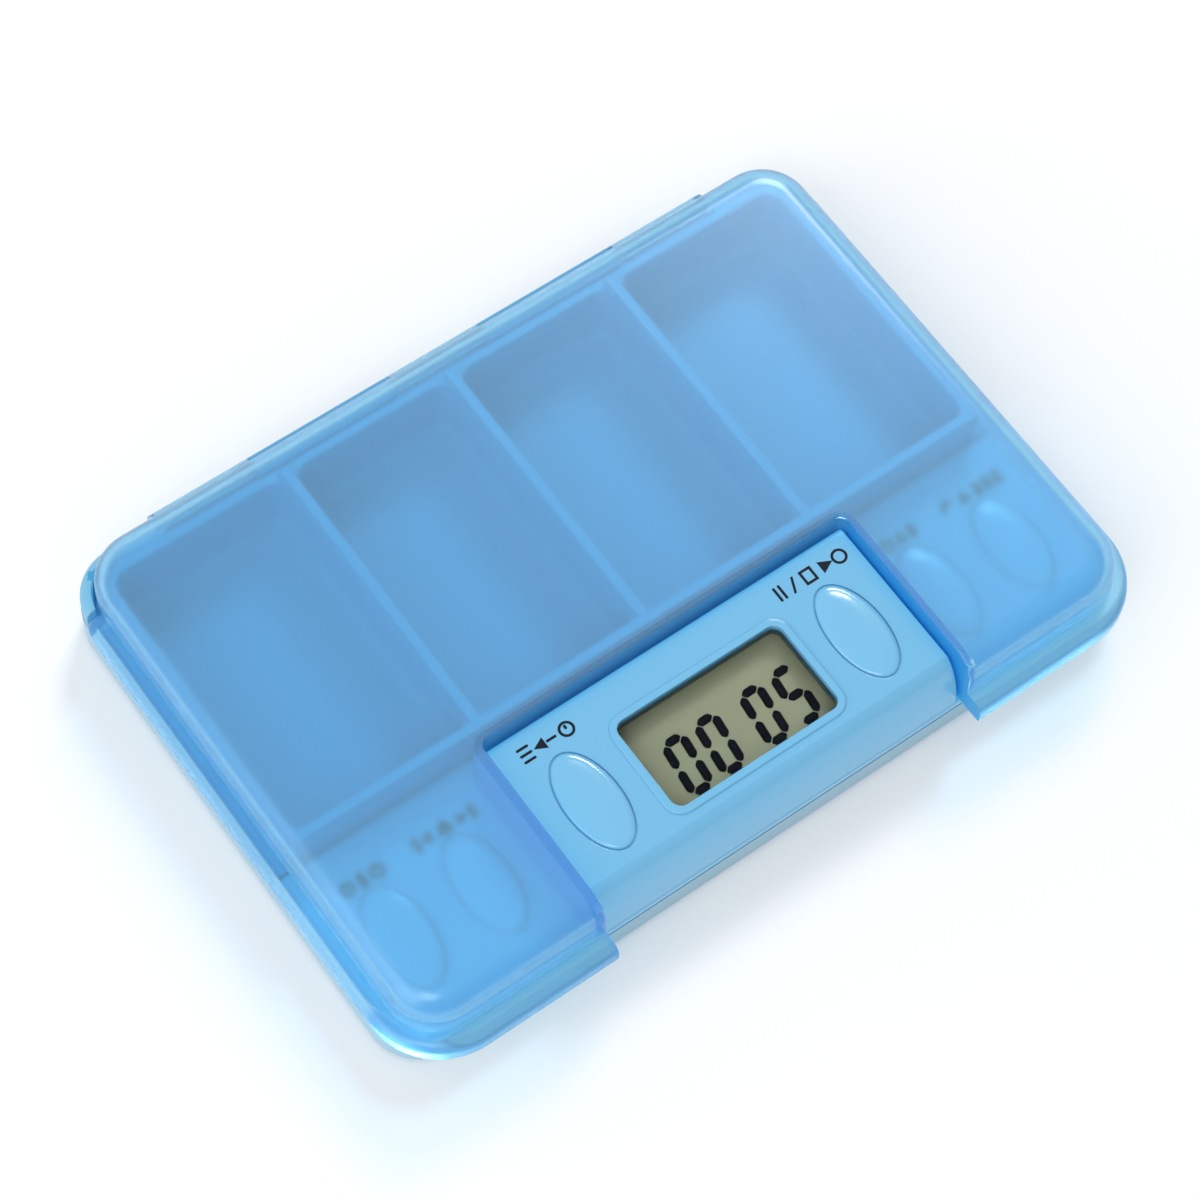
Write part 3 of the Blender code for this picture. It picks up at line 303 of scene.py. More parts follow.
def join(piece, tool):
    """Add the tool's solid."""
    return change(piece, tool, "UNION")


print("Booleans keep an overlap of", LAP)

# %% [markdown]
# ## Rounding edges
#
# Real mouldings have no knife edges. A bevel rounds the sharp edges that a test picks, and the test is a
# small function of an edge's middle, so each fillet says in words where it lies.

# %% Round edges
SHARP_ANGLE = math.radians(32)
LEVEL_SLACK = WELD * 10


def fillet(piece, radius, steps, pick):
    """Round the sharp edges whose middle the test picks."""
    work = bmesh.new()
    work.from_mesh(piece.data)
    work.normal_update()
    edges = []
    for edge in work.edges:
        if len(edge.link_faces) == 2 and edge.calc_face_angle(0) > SHARP_ANGLE:
            if pick((edge.verts[0].co + edge.verts[1].co) / 2, edge):
                edges.append(edge)
    bmesh.ops.bevel(work, geom=edges, offset=radius, offset_type="OFFSET", segments=steps,
                    profile=0.5, affect="EDGES", clamp_overlap=True)
    work.to_mesh(piece.data)
    work.free()
    return piece


def at_height(height):
    """Pick the level edges at one height."""
    def pick(middle, edge):
        level = abs(edge.verts[0].co.z - edge.verts[1].co.z) < LEVEL_SLACK
        return level and abs(middle.z - height) < LEVEL_SLACK
    return pick


print("edges count as sharp from", round(math.degrees(SHARP_ANGLE)), "degrees")

# %% [markdown]
# ## Dressing a piece
#
# A finished piece gets its material, smooth shading with true edges, and weighted normals, which keep the
# wide flats flat. A second finish goes on by faces, as where painted light makes one moulding paler at
# its side.

# %% Dress and paint
STEEP = 0.3


def dress(piece, material, body, slot, *nodes):
    """Give a piece its finish and smooth shading, and let it stand for its solids."""
    piece.data.materials.clear()
    piece.data.materials.append(material)
    piece.data.shade_smooth()
    piece.data.set_sharp_from_angle(angle=SHARP_ANGLE)
    weighted = piece.modifiers.new("even_shading", "WEIGHTED_NORMAL")
    weighted.keep_sharp = True
    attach(piece, body)
    if nodes:
        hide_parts(*nodes)
    print(piece.name, "faces", len(piece.data.polygons))
    return piece


def paint(piece, material, pick):
    """Give the faces that a test picks by middle and normal a second finish."""
    piece.data.materials.append(material)
    index = len(piece.data.materials) - 1
    count = 0
    for face in piece.data.polygons:
        if pick(face.center, face.normal):
            face.material_index = index
            count += 1
    print(piece.name, "faces with", material.name, count)


print("faces count as steep below", STEEP)

# %% [markdown]
# ## The grain that all mouldings share
#
# Moulded plastic is never one flat colour: the melt flows in slow clouds, and the mould's polish leaves a
# fine orange peel. One node group makes both from noise on Object coordinates, and each finish sets its
# own two colours, roughness range and depth.

# %% Build the moulding group
MOULDED_SCALES = (40.0, 1800.0)
CLOUD_DETAIL = 3.0
SKIN_DETAIL = 2.0


def group_socket(tree, name, kind, value=None, output=False):
    """Add one named socket to a node group."""
    side = "OUTPUT" if output else "INPUT"
    socket = tree.interface.new_socket(name=name, in_out=side, socket_type=kind)
    if value is not None:
        socket.default_value = value
    return socket


def add_node(tree, kind, **values):
    """Add a node and set its plain properties."""
    node = tree.nodes.new(kind)
    for name, value in values.items():
        setattr(node, name, value)
    return node


def noise(tree, coordinates, scale_socket, detail):
    """A noise texture that reads Object coordinates."""
    texture = add_node(tree, "ShaderNodeTexNoise")
    texture.inputs["Detail"].default_value = detail
    tree.links.new(coordinates, texture.inputs["Vector"])
    tree.links.new(scale_socket, texture.inputs["Scale"])
    return texture.outputs["Fac"]


def make_moulding_group():
    """Slow colour clouds, a roughness that wanders and a fine skin height."""
    tree = bpy.data.node_groups.new("moulded_skin", "ShaderNodeTree")
    group_socket(tree, "Colour", "NodeSocketColor")
    group_socket(tree, "Cloud Colour", "NodeSocketColor")
    group_socket(tree, "Cloud Scale", "NodeSocketFloat", MOULDED_SCALES[0])
    group_socket(tree, "Skin Scale", "NodeSocketFloat", MOULDED_SCALES[1])
    group_socket(tree, "Low Roughness", "NodeSocketFloat")
    group_socket(tree, "High Roughness", "NodeSocketFloat")
    group_socket(tree, "Colour", "NodeSocketColor", output=True)
    group_socket(tree, "Roughness", "NodeSocketFloat", output=True)
    group_socket(tree, "Height", "NodeSocketFloat", output=True)
    source = add_node(tree, "NodeGroupInput")
    result = add_node(tree, "NodeGroupOutput")
    place = add_node(tree, "ShaderNodeTexCoord").outputs["Object"]
    clouds = noise(tree, place, source.outputs["Cloud Scale"], CLOUD_DETAIL)
    skin = noise(tree, place, source.outputs["Skin Scale"], SKIN_DETAIL)
    blend = add_node(tree, "ShaderNodeMix", data_type="RGBA")
    tree.links.new(clouds, blend.inputs[0])
    tree.links.new(source.outputs["Colour"], blend.inputs[6])
    tree.links.new(source.outputs["Cloud Colour"], blend.inputs[7])
    spread = add_node(tree, "ShaderNodeMapRange")
    tree.links.new(skin, spread.inputs["Value"])
    tree.links.new(source.outputs["Low Roughness"], spread.inputs["To Min"])
    tree.links.new(source.outputs["High Roughness"], spread.inputs["To Max"])
    tree.links.new(blend.outputs[2], result.inputs["Colour"])
    tree.links.new(spread.outputs["Result"], result.inputs["Roughness"])
    tree.links.new(skin, result.inputs["Height"])
    return tree


moulded_skin = make_moulding_group()
print("moulding group", len(moulded_skin.nodes), "nodes")

# %% [markdown]
# ## Finishes
#
# The same group feeds every finish. Satin and gloss plastics differ in roughness and bump, metals in the
# metallic value, and printed ink is the group again with almost no clouds.

# %% Make a finish
COAT_ROUGHNESS = 0.06
SKIN_HEIGHT = 0.0001
EDGE_SAMPLES = 6


def start_material(name, colour, cloud, low, high, scales=MOULDED_SCALES):
    """A Principled material whose colour and roughness come from the moulding group."""
    material = bpy.data.materials.new(name)
    material.use_nodes = True
    tree = material.node_tree
    shader = tree.nodes["Principled BSDF"]
    skin = add_node(tree, "ShaderNodeGroup", node_tree=moulded_skin)
    skin.inputs["Colour"].default_value = (*colour, 1)
    skin.inputs["Cloud Colour"].default_value = (*cloud, 1)
    skin.inputs["Cloud Scale"].default_value = scales[0]
    skin.inputs["Skin Scale"].default_value = scales[1]
    skin.inputs["Low Roughness"].default_value = low
    skin.inputs["High Roughness"].default_value = high
    tree.links.new(skin.outputs["Colour"], shader.inputs["Base Color"])
    tree.links.new(skin.outputs["Roughness"], shader.inputs["Roughness"])
    return material, tree, shader, skin


def finish(name, colour, cloud, low, high, depth=0.02, metallic=0.0, coat=0.0, scales=MOULDED_SCALES,
           edge=0.0, shine=0.5):
    """A finish with the group's bump, and with optional coat and rounded edges."""
    material, tree, shader, skin = start_material(name, colour, cloud, low, high, scales)
    shader.inputs["Metallic"].default_value = metallic
    shader.inputs["Specular IOR Level"].default_value = shine
    shader.inputs["Coat Weight"].default_value = coat
    shader.inputs["Coat Roughness"].default_value = COAT_ROUGHNESS
    bump = add_node(tree, "ShaderNodeBump")
    bump.inputs["Strength"].default_value = depth
    bump.inputs["Distance"].default_value = SKIN_HEIGHT
    if edge:
        rounder = add_node(tree, "ShaderNodeBevel", samples=EDGE_SAMPLES)
        rounder.inputs["Radius"].default_value = edge
        tree.links.new(rounder.outputs["Normal"], bump.inputs["Normal"])
    tree.links.new(skin.outputs["Height"], bump.inputs["Height"])
    tree.links.new(bump.outputs["Normal"], shader.inputs["Normal"])
    return material


tray_plastic = finish("tray_plastic", (0.035, 0.31, 0.56), (0.045, 0.33, 0.585), 0.30, 0.42, 0.05,
                      edge=0.0003)
cover_plastic = finish("cover_plastic", (0.150, 0.46, 0.72), (0.165, 0.48, 0.74), 0.14, 0.20, 0.02, coat=0.5,
                       edge=0.0002)
cap_plastic = finish("cap_plastic", (0.165, 0.48, 0.74), (0.175, 0.50, 0.76), 0.16, 0.22, 0.02, coat=0.6)
# Painted light: the next two are paler, greyer blues for the strong light on the tray's side and guards.
tray_side_painted_light = finish("tray_side_painted_light", (0.31, 0.50, 0.61), (0.34, 0.53, 0.64), 0.45, 0.60, 0.08, edge=0.0003)
guard_painted_light = finish("guard_painted_light", (0.17, 0.45, 0.66), (0.19, 0.47, 0.68), 0.35, 0.50, 0.05, edge=0.0003)
black_ink = finish("black_ink", (0.006, 0.008, 0.014), (0.010, 0.012, 0.020), 0.50, 0.65, 0.05, shine=0.15)
print("finishes", len(bpy.data.materials))

# %% [markdown]
# ## The frosted lid's plastic
#
# The lid is a clear blue plastic whose haze blurs what lies far below it and leaves what lies close, like
# the dividers' tops, fairly crisp. Rough transmission does just that. A part of the weight stays diffuse,
# which is the milky veil on top. Where the wall turns from flat to upright, painted shade deepens the
# colour: it stands in for light from above that goes down through the wall and not just across it. The
# surface's own normal tells where that is, so that the painted shade stays put when the lid swings. Shadow
# rays and light that bounces about inside pass a tinted transparent shader, so that the compartments are
# lit as through a real lid, without grain.

# %% Make the frosted plastic
FROST_IOR = 1.46
FROST_PASS_TINT = (0.72, 0.92, 1.0, 1)
# Painted shade on upright walls: where it starts and is full by the normal's height, and its tint.
NORMAL_FLAT = 0.92
NORMAL_UPRIGHT = 0.30
UPRIGHT_PAINTED_SHADE = (0.66, 0.84, 0.95)


def let_rays_pass(tree, shader, tint, *rays):
    """Send one or two kinds of rays through a tinted transparent shader instead."""
    clear = add_node(tree, "ShaderNodeBsdfTransparent")
    clear.inputs["Color"].default_value = tint
    path = add_node(tree, "ShaderNodeLightPath")
    share = add_node(tree, "ShaderNodeMath", operation="MAXIMUM")
    share.inputs[1].default_value = 0.0
    for socket, ray in zip(share.inputs, rays):
        tree.links.new(path.outputs[ray], socket)
    mix = add_node(tree, "ShaderNodeMixShader")
    tree.links.new(share.outputs[0], mix.inputs[0])
    tree.links.new(shader.outputs[0], mix.inputs[1])
    tree.links.new(clear.outputs[0], mix.inputs[2])
    tree.links.new(mix.outputs[0], tree.nodes["Material Output"].inputs["Surface"])


def paint_upright_shade(tree, shader, colour):
    """Paint shade into the colour where the object's own normal lies level, for light going down the wall."""
    place = add_node(tree, "ShaderNodeTexCoord")
    split = add_node(tree, "ShaderNodeSeparateXYZ")
    level = add_node(tree, "ShaderNodeMath", operation="ABSOLUTE")
    depth = add_node(tree, "ShaderNodeMapRange")
    depth.inputs["From Min"].default_value = NORMAL_FLAT
    depth.inputs["From Max"].default_value = NORMAL_UPRIGHT
    tint = add_node(tree, "ShaderNodeMix", data_type="RGBA", blend_type="MULTIPLY")
    plain, tinted = [socket for socket in tint.inputs if socket.type == "RGBA"]
    tinted.default_value = (*UPRIGHT_PAINTED_SHADE, 1)
    tree.links.new(place.outputs["Normal"], split.inputs[0])
    tree.links.new(split.outputs["Z"], level.inputs[0])
    tree.links.new(level.outputs[0], depth.inputs["Value"])
    tree.links.new(depth.outputs["Result"], tint.inputs["Factor"])
    tree.links.new(colour, plain)
    mixed = next(socket for socket in tint.outputs if socket.type == "RGBA")
    tree.links.new(mixed, shader.inputs["Base Color"])


def make_frost(name, colour, cloud, low, high, clear_share):
    """Rough, slightly milky transmission, open to shadow rays and to light that bounces about inside."""
    material, tree, shader, skin = start_material(name, colour, cloud, low, high)
    shader.inputs["IOR"].default_value = FROST_IOR
    shader.inputs["Transmission Weight"].default_value = clear_share
    # Painted shade: a deeper tint on the upright walls.
    paint_upright_shade(tree, shader, skin.outputs["Colour"])
    let_rays_pass(tree, shader, FROST_PASS_TINT, "Is Shadow Ray", "Is Diffuse Ray")
    return material


frosted_plastic = make_frost("frosted_plastic", (0.39, 0.74, 0.94), (0.41, 0.76, 0.95), 0.21, 0.26, 0.86)
# Painted shade: a deeper tint of the same frost for the band, which is seen on edge.
band_plastic_painted_shade = make_frost("band_plastic_painted_shade", (0.34, 0.66, 0.87), (0.36, 0.68, 0.89), 0.21, 0.26, 0.86)
# Painted shade: a deep, less clear blue for the notch's skirts, along whose walls one looks.
skirt_plastic_painted_shade = make_frost("skirt_plastic_painted_shade", (0.04, 0.38, 0.72), (0.05, 0.40, 0.75), 0.30, 0.36, 0.45)
print("lid finishes", [material.name for material in (frosted_plastic, band_plastic_painted_shade, skirt_plastic_painted_shade)])

# %% [markdown]
# ## The hinge
#
# The lid turns on a steel pin in the rear edge. Two wide knuckles belong to the tray and three to the lid.
# Both pieces are cut to make room for each other's knuckles, so the hinge's values are named before either
# is made. The pin's own solid gives its axis.

# %% Size the hinge
HINGE_RELIEF = 0.0006
BARREL_R = 0.0016
BORE_R = 0.0007
KNUCKLE_GAP = 0.0003
CENTRE_KNUCKLE_HALF = 0.00605
OUTER_KNUCKLE_X = 0.02495
HINGE_HALF = pin_high.x + GAP * 2
HINGE_Y = (pin_low.y + pin_high.y) / 2
HINGE_Z = (pin_low.z + pin_high.z) / 2
REAR_WALL_Z = HINGE_Z - BARREL_R - GAP
print("hinge axis at y", round(HINGE_Y, 5), "z", round(HINGE_Z, 5))

# %% [markdown]
# ## The tray
#
# One moulding holds everything: the floor, four compartments with rounded corners and floor edges, the
# ledge that the lid sits on, the rear rail and the front bay. It is a plate with a raised block joined to
# it and pockets cut out, which is how its mould is made too.

# %% Make the tray
TRAY_WALL_Z = 0.00995
DIVIDER_Z = case_high.z
DIVIDER_T = 0.0012
DIVIDER_PITCH = 0.02225
TRAY_WALL_T = 0.0011
TRAY_CORNER_R = 0.0046
TRAY_FRONT_R = 0.0008
POCKET_R = 0.0022
POCKET_FLOOR_R = 0.0016
CASE_FOOT_R = 0.0006
TRAY_FRONT_Y = cover_high.y + GAP
TRAY_INNER_REAR_Y = TRAY_REAR_Y - HINGE_RELIEF - TRAY_WALL_T


def make_pocket(left, right):
    """One compartment's hollow."""
    hollow = plate("pocket", rounded_box(left, right, TRAY_FRONT_Y + DIVIDER_T, TRAY_INNER_REAR_Y,
                                         POCKET_R, steps=8), FLOOR_T, DIVIDER_Z + OVERRUN)
    return fillet(hollow, POCKET_FLOOR_R, 6, at_height(FLOOR_T))


def comb_outline():
    """The cross wall with its three dividers, seen from above."""
    front, back = TRAY_FRONT_Y, TRAY_FRONT_Y + DIVIDER_T
    rear = TRAY_INNER_REAR_Y + TRAY_WALL_T / 2
    reach = TRAY_HALF - TRAY_WALL_T / 2
    points = [(-reach, front), (reach, front), (reach, back)]
    for x in (DIVIDER_PITCH, 0, -DIVIDER_PITCH):
        points += [(x + DIVIDER_T / 2, back), (x + DIVIDER_T / 2, rear),
                   (x - DIVIDER_T / 2, rear), (x - DIVIDER_T / 2, back)]
    return points + [(-reach, back)]


def make_tray():
    """Plate, raised block, cross wall, pockets and ledge channel."""
    tray = plate("tray_shell", rounded_box(-CASE_HALF, CASE_HALF, case_low.y, case_high.y,
                                           CASE_CORNER_R), 0, SEAT_Z)
    fillet(tray, CASE_FOOT_R, 4, at_height(0))
    cut(tray, box("seam", -CASE_HALF * 2, CASE_HALF * 2, case_low.y * 2, TRAY_FRONT_Y, SEAM_Z, SEAT_Z * 2))
    channel = plate("channel", rounded_box(-CASE_HALF + WALL_T, CASE_HALF - WALL_T,
                                           TRAY_FRONT_Y + DIVIDER_T, case_high.y - WALL_T, TRAY_FRONT_R,
                                           CASE_CORNER_R - WALL_T), -OVERRUN, SEAT_Z - WALL_T)
    cut(channel, plate("core", rounded_box(-TRAY_HALF, TRAY_HALF, case_low.y, TRAY_REAR_Y, TRAY_FRONT_R,
                                           TRAY_CORNER_R), -OVERRUN * 2, SEAT_Z * 2))
    cut(tray, channel)
    join(tray, plate("walls", rounded_box(-TRAY_HALF, TRAY_HALF, TRAY_FRONT_Y, TRAY_REAR_Y, TRAY_FRONT_R,
                                          TRAY_CORNER_R), FLOOR_T / 2, TRAY_WALL_Z))
    join(tray, plate("comb", comb_outline(), SEAT_Z, DIVIDER_Z))
    edges = [-TRAY_HALF + TRAY_WALL_T, -DIVIDER_PITCH, 0, DIVIDER_PITCH, TRAY_HALF - TRAY_WALL_T]
    for count, (left, right) in enumerate(zip(edges, edges[1:])):
        left += DIVIDER_T / 2 if count > 0 else 0
        right -= DIVIDER_T / 2 if count < 3 else 0
        cut(tray, make_pocket(left, right))
    return tray


tray_shell = make_tray()
print("tray faces", len(tray_shell.data.polygons))

# %% [markdown]
# ## The tray's corner guards
#
# The lid's flared band ends short of the hinge, since it could not swing clear there. The case itself rises
# round the two rear corners, in line with the band, so that the outline runs on without a step. The guards
# are cut from one plate with the same corner radius as the case, and lie a hair inside it, because faces in
# one plane confuse a Boolean.

# %% Raise the corner guards
GUARD_FRONT_Y = 0.0295
GUARD_TOP_Z = 0.0084
GUARD_EDGE_R = 0.0013
GUARD_INSET = 0.00005


def add_corner_guards(tray, span_half):
    """The case rises round the lid's rear corners, in line with the lid's band."""
    half = CASE_HALF - GUARD_INSET
    around = GAP * 2 + LID_WALL_T + GUARD_INSET
    guards = plate("guards", rounded_box(-half, half, 0, case_high.y - GUARD_INSET, 0, CASE_CORNER_R),
                   SEAT_Z - LAP, GUARD_TOP_Z)
    fillet(guards, GUARD_EDGE_R, 7, at_height(GUARD_TOP_Z))
    cut(guards, plate("room", rounded_box(-TRAY_HALF - around, TRAY_HALF + around, -OVERRUN,
                                          TRAY_REAR_Y + around, 0, LID_CORNER_R + GAP), 0, DIVIDER_Z * 2))
    cut(guards, box("ends", -CASE_HALF * 2, CASE_HALF * 2, -OVERRUN * 2, GUARD_FRONT_Y, 0, DIVIDER_Z))
    cut(guards, box("span", -span_half, span_half, GUARD_FRONT_Y - OVERRUN, case_high.y + OVERRUN, 0,
                    DIVIDER_Z))
    join(tray, guards)


print("guards rise", round(GUARD_TOP_Z - SEAT_Z, 5), "above the seat")

# %% [markdown]
# ## The tray's hinge side
#
# The rear wall steps forward where the barrels turn, a rail closes the ledge at the back, and two wide
# knuckles stand on it. The bore is cut last, through both knuckles at once, so that it is in line.

# %% Add the hinge side


def add_hinge_side(tray):
    """Relief, rail, corner guards, knuckles and bore."""
    half = HINGE_HALF + KNUCKLE_GAP * 2
    cut(tray, box("relief", -half, half, TRAY_REAR_Y - HINGE_RELIEF, case_high.y, REAR_WALL_Z,
                  DIVIDER_Z * 2))
    rail = CASE_HALF - CASE_CORNER_R
    join(tray, box("rail", -rail, rail, case_high.y - WALL_T, case_high.y, SEAT_Z - WALL_T + LAP,
                   REAR_WALL_Z))
    add_corner_guards(tray, rail - LAP)
    inner, outer = CENTRE_KNUCKLE_HALF + KNUCKLE_GAP, OUTER_KNUCKLE_X - KNUCKLE_GAP
    for side in (-1, 1):
        x0, x1 = sorted((side * inner, side * outer))
        join(tray, box("root", x0, x1, TRAY_REAR_Y - HINGE_RELIEF - LAP, case_high.y,
                       SEAT_Z - WALL_T + LAP, HINGE_Z))
        join(tray, rod("barrel", BARREL_R, x0, x1, HINGE_Y, HINGE_Z))
    cut(tray, rod("bore", BORE_R, pin_low.x - GAP, pin_high.x + GAP, HINGE_Y, HINGE_Z))


add_hinge_side(tray_shell)
print("tray faces", len(tray_shell.data.polygons))

# %% [markdown]
# ## The tray's front bay
#
# The front bay is an open tub for the timer, with the battery well and four screw posts on its floor. The
# well is a small plate with a shaft cut through it, which the battery door closes from below.

# %% Add the front bay
well_low, well_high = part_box("battery_door")
WELL_T = 0.001
WELL_CORNER_R = 0.0008
CONTACT_RISE = 0.00065
WELL_TOP_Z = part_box("contact_positive")[1].z - CONTACT_RISE
POST_R = 0.002
POST_TOP_Z = 0.0022
SINK_R = 0.00175
SINK_Z = 0.001
SCREW_HOLE_R = 0.00085
SCREW_NODES = ["case_screw_1", "case_screw_2", "case_screw_3", "case_screw_4"]


def screw_places():
    """Where the four screws stand, from their solids."""
    places = []
    for node in SCREW_NODES:
        low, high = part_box(node)
        places.append(((low.x + high.x) / 2, (low.y + high.y) / 2))
    return places


def add_front_bay(tray):
    """The timer's tub, the battery well and the screw posts."""
    cut(tray, plate("bay", rounded_box(-CASE_HALF + WALL_T, CASE_HALF - WALL_T, case_low.y + WALL_T,
                                       TRAY_FRONT_Y, CASE_CORNER_R - WALL_T, TRAY_FRONT_R),
                    FLOOR_T, SEAT_Z))
    x, y0, y1 = well_high.x + GAP, well_low.y - GAP, well_high.y + GAP
    join(tray, plate("well", rounded_box(-x - WELL_T, x + WELL_T, y0 - WELL_T, y1 + WELL_T,
                                         WELL_CORNER_R + WELL_T), FLOOR_T / 2, WELL_TOP_Z))
    cut(tray, plate("shaft", rounded_box(-x, x, y0, y1, WELL_CORNER_R), -OVERRUN, WELL_TOP_Z * 2))
    for x, y in screw_places():
        join(tray, post("post", POST_R, x, y, FLOOR_T / 2, POST_TOP_Z))
        cut(tray, post("sink", SINK_R, x, y, -OVERRUN, SINK_Z))
        cut(tray, post("bore", SCREW_HOLE_R, x, y, -OVERRUN, POST_TOP_Z * 2))


add_front_bay(tray_shell)
print("screws", len(screw_places()))

# %% [markdown]
# ## The tray's finish
#
# The tray is satin blue. In the strong light its outer side looks pale and greyish, and the guards lie
# between the two, so both get painted light by faces: paler colours that stand in for that strong light.
# One test picks the outward faces below the seat, the other those of the guards.

# %% Dress the tray
dress(tray_shell, tray_plastic, "base", "tray_blue", "tray_base")
# Painted light: paler colours on the outward faces below the seat and on the guards.
paint(tray_shell, tray_side_painted_light, lambda middle, normal: middle.z < SEAT_Z and abs(normal.z) < 0.5
      and middle.x * normal.x + middle.y * normal.y > 0
      and (abs(middle.x) > CASE_HALF - CASE_CORNER_R or middle.y < case_low.y + WALL_T / 2
           or middle.y > case_high.y - WALL_T / 2))
paint(tray_shell, guard_painted_light, lambda middle, normal: middle.z > SEAT_Z and middle.y > GUARD_FRONT_Y - WELD
      and (abs(middle.x) > TRAY_HALF + GAP or middle.y > TRAY_REAR_Y + WALL_T and abs(middle.x) > HINGE_HALF))

# %% [markdown]
# ## The timer's cover
#
# Two low wings carry the four small buttons, and the middle rises as a block with a flat top whose front
# rolls down to the seam. The block is drawn from the side, like a loaf, and extruded to its width. The
# roll starts at a slight crease, which is the fine light line along the top's front edge.

# %% Size the cover
RING_RISE = 0.00025
RING_WIDTH = 0.0009
BLOCK_TOP_Z = cover_high.z - RING_RISE
BLOCK_HALF = 0.0239
BLOCK_REAR_Y = -0.0099
BLOCK_CREASE_Y = -0.0292
BLOCK_NOSE = 0.0029
BLOCK_REAR_R = 0.0008
BLOCK_SIDE_R = 0.0006
CREASE_ANGLE = 0.30
REAR_STEPS = 6
NOSE_STEPS = 20
WING_EDGE_R = 0.0003
RING_EDGE_R = RING_RISE * 0.7
SKIN_T = 0.0012
COVER_T = 0.001
COVER_UNDER_Z = SEAT_Z - COVER_T
BUTTON_GAP = 0.00016
LENS_GAP = 0.0002
LENS_FLANGE = 0.001
WINDOW_R = 0.0013
WINDOW_HALF = lens_high.x - LENS_FLANGE
WINDOW_LIP = 0.0003
WINDOW_FRONT_Y = lens_low.y + LENS_FLANGE - WINDOW_LIP
WINDOW_REAR_Y = lens_high.y - LENS_FLANGE
print("block top", round(BLOCK_TOP_Z, 5), "window", round(WINDOW_HALF * 2, 5))

# %% [markdown]
# ## The cover's outlines
#
# Three small functions give the block's side outline, the window's outline and a button's place. The
# hollow under the block uses the same outline as its outside, drawn inwards by the wall.

# %% Draw the outlines
BLOCK_BUTTONS = ["recall_button", "power_button"]
WING_BUTTONS = ["clock_button", "alarm_button", "hour_button", "minute_button"]
FLANGE_OUT = 0.0006


def nose_profile(inset, low):
    """(Y, Z) outline: flat top, small round at the rear, a roll that starts at a crease in front."""
    top = BLOCK_TOP_Z - inset
    rear = BLOCK_REAR_Y - inset
    points = [(rear, low)]
    for step in range(REAR_STEPS + 1):
        angle = math.pi / 2 * step / REAR_STEPS
        points.append((rear - BLOCK_REAR_R * (1 - math.cos(angle)),
                       top - BLOCK_REAR_R * (1 - math.sin(angle))))
    start = CREASE_ANGLE
    for step in range(NOSE_STEPS + 1):
        angle = start + (math.pi / 2 - start) * step / NOSE_STEPS
        out = (math.sin(angle) - math.sin(start)) / (1 - math.sin(start))
        points.append((BLOCK_CREASE_Y - (BLOCK_NOSE - inset) * out,
                       COVER_UNDER_Z + (top - COVER_UNDER_Z) * math.cos(angle) / math.cos(start)))
    points.append((BLOCK_CREASE_Y - BLOCK_NOSE + inset, low))
    return points


def window_outline(grow):
    """The display window, grown all round."""
    return rounded_box(-WINDOW_HALF - grow, WINDOW_HALF + grow, WINDOW_FRONT_Y - grow,
                       WINDOW_REAR_Y + grow, WINDOW_R + grow)


def button_place(node):
    """Centre, width, length and top of a button, from its solid."""
    low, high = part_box(node)
    width, length = high.x - low.x - FLANGE_OUT * 2, high.y - low.y - FLANGE_OUT * 2
    return (low.x + high.x) / 2, (low.y + high.y) / 2, width, length, high.z


print("caps", [[round(value, 5) for value in button_place(node)] for node in BLOCK_BUTTONS])

# %% [markdown]
# ## The cover's moulding
#
# The wings are one thin plate and the block is joined on top of it. Then the block is hollowed, the low
# ring round the window is added, and the window and the six button holes are cut through.

# %% Make the cover


def make_cover():
    """Wings, block, window ring, hollow and holes."""
    cover = plate("timer_cover", rounded_box(-CASE_HALF, CASE_HALF, cover_low.y, cover_high.y,
                                             CASE_CORNER_R, TRAY_FRONT_R), COVER_UNDER_Z, SEAT_Z)
    fillet(cover, WING_EDGE_R, 3, at_height(SEAT_Z))
    block = side_plate("block", nose_profile(0, COVER_UNDER_Z - LAP), -BLOCK_HALF, BLOCK_HALF)
    fillet(block, BLOCK_SIDE_R, 4, lambda middle, edge: abs(abs(middle.x) - BLOCK_HALF) < WELD
           and middle.z > SEAT_Z)
    join(cover, block)
    cut(cover, box("trim", -CASE_HALF * 2, CASE_HALF * 2, case_low.y * 2, 0, -OVERRUN, COVER_UNDER_Z))
    cut(cover, side_plate("hollow", nose_profile(SKIN_T, -OVERRUN), -BLOCK_HALF + SKIN_T,
                          BLOCK_HALF - SKIN_T))
    ring = plate("ring", window_outline(RING_WIDTH), BLOCK_TOP_Z - SKIN_T / 2, BLOCK_TOP_Z + RING_RISE)
    fillet(ring, RING_EDGE_R, 4, at_height(BLOCK_TOP_Z + RING_RISE))
    join(cover, ring)
    window = plate("window", window_outline(0), BLOCK_TOP_Z - SKIN_T - LAP, BLOCK_TOP_Z + OVERRUN)
    cut(cover, window)
    for node in BLOCK_BUTTONS + WING_BUTTONS:
        x, y, width, length, top = button_place(node)
        low = BLOCK_TOP_Z - SKIN_T - LAP if node in BLOCK_BUTTONS else COVER_UNDER_Z - LAP
        gap = BUTTON_GAP * 2
        cut(cover, plate("hole", oval(x, y, width + gap, length + gap), low, BLOCK_TOP_Z * 2))
    return cover


timer_cover = make_cover()
dress(timer_cover, cover_plastic, "base", "panel_blue", "control_panel")

# %% [markdown]
# ## The buttons
#
# Each button is a shallow oval dome with a broad rounded rim. A loft through level ovals makes it: every
# oval is the button's own outline grown or shrunk by the same amount all round, so the rim keeps its width
# where the oval is tight. The caps of the raised block sit in a shallow groove and stand on stems, the wing
# caps press their domes directly through an open slit.

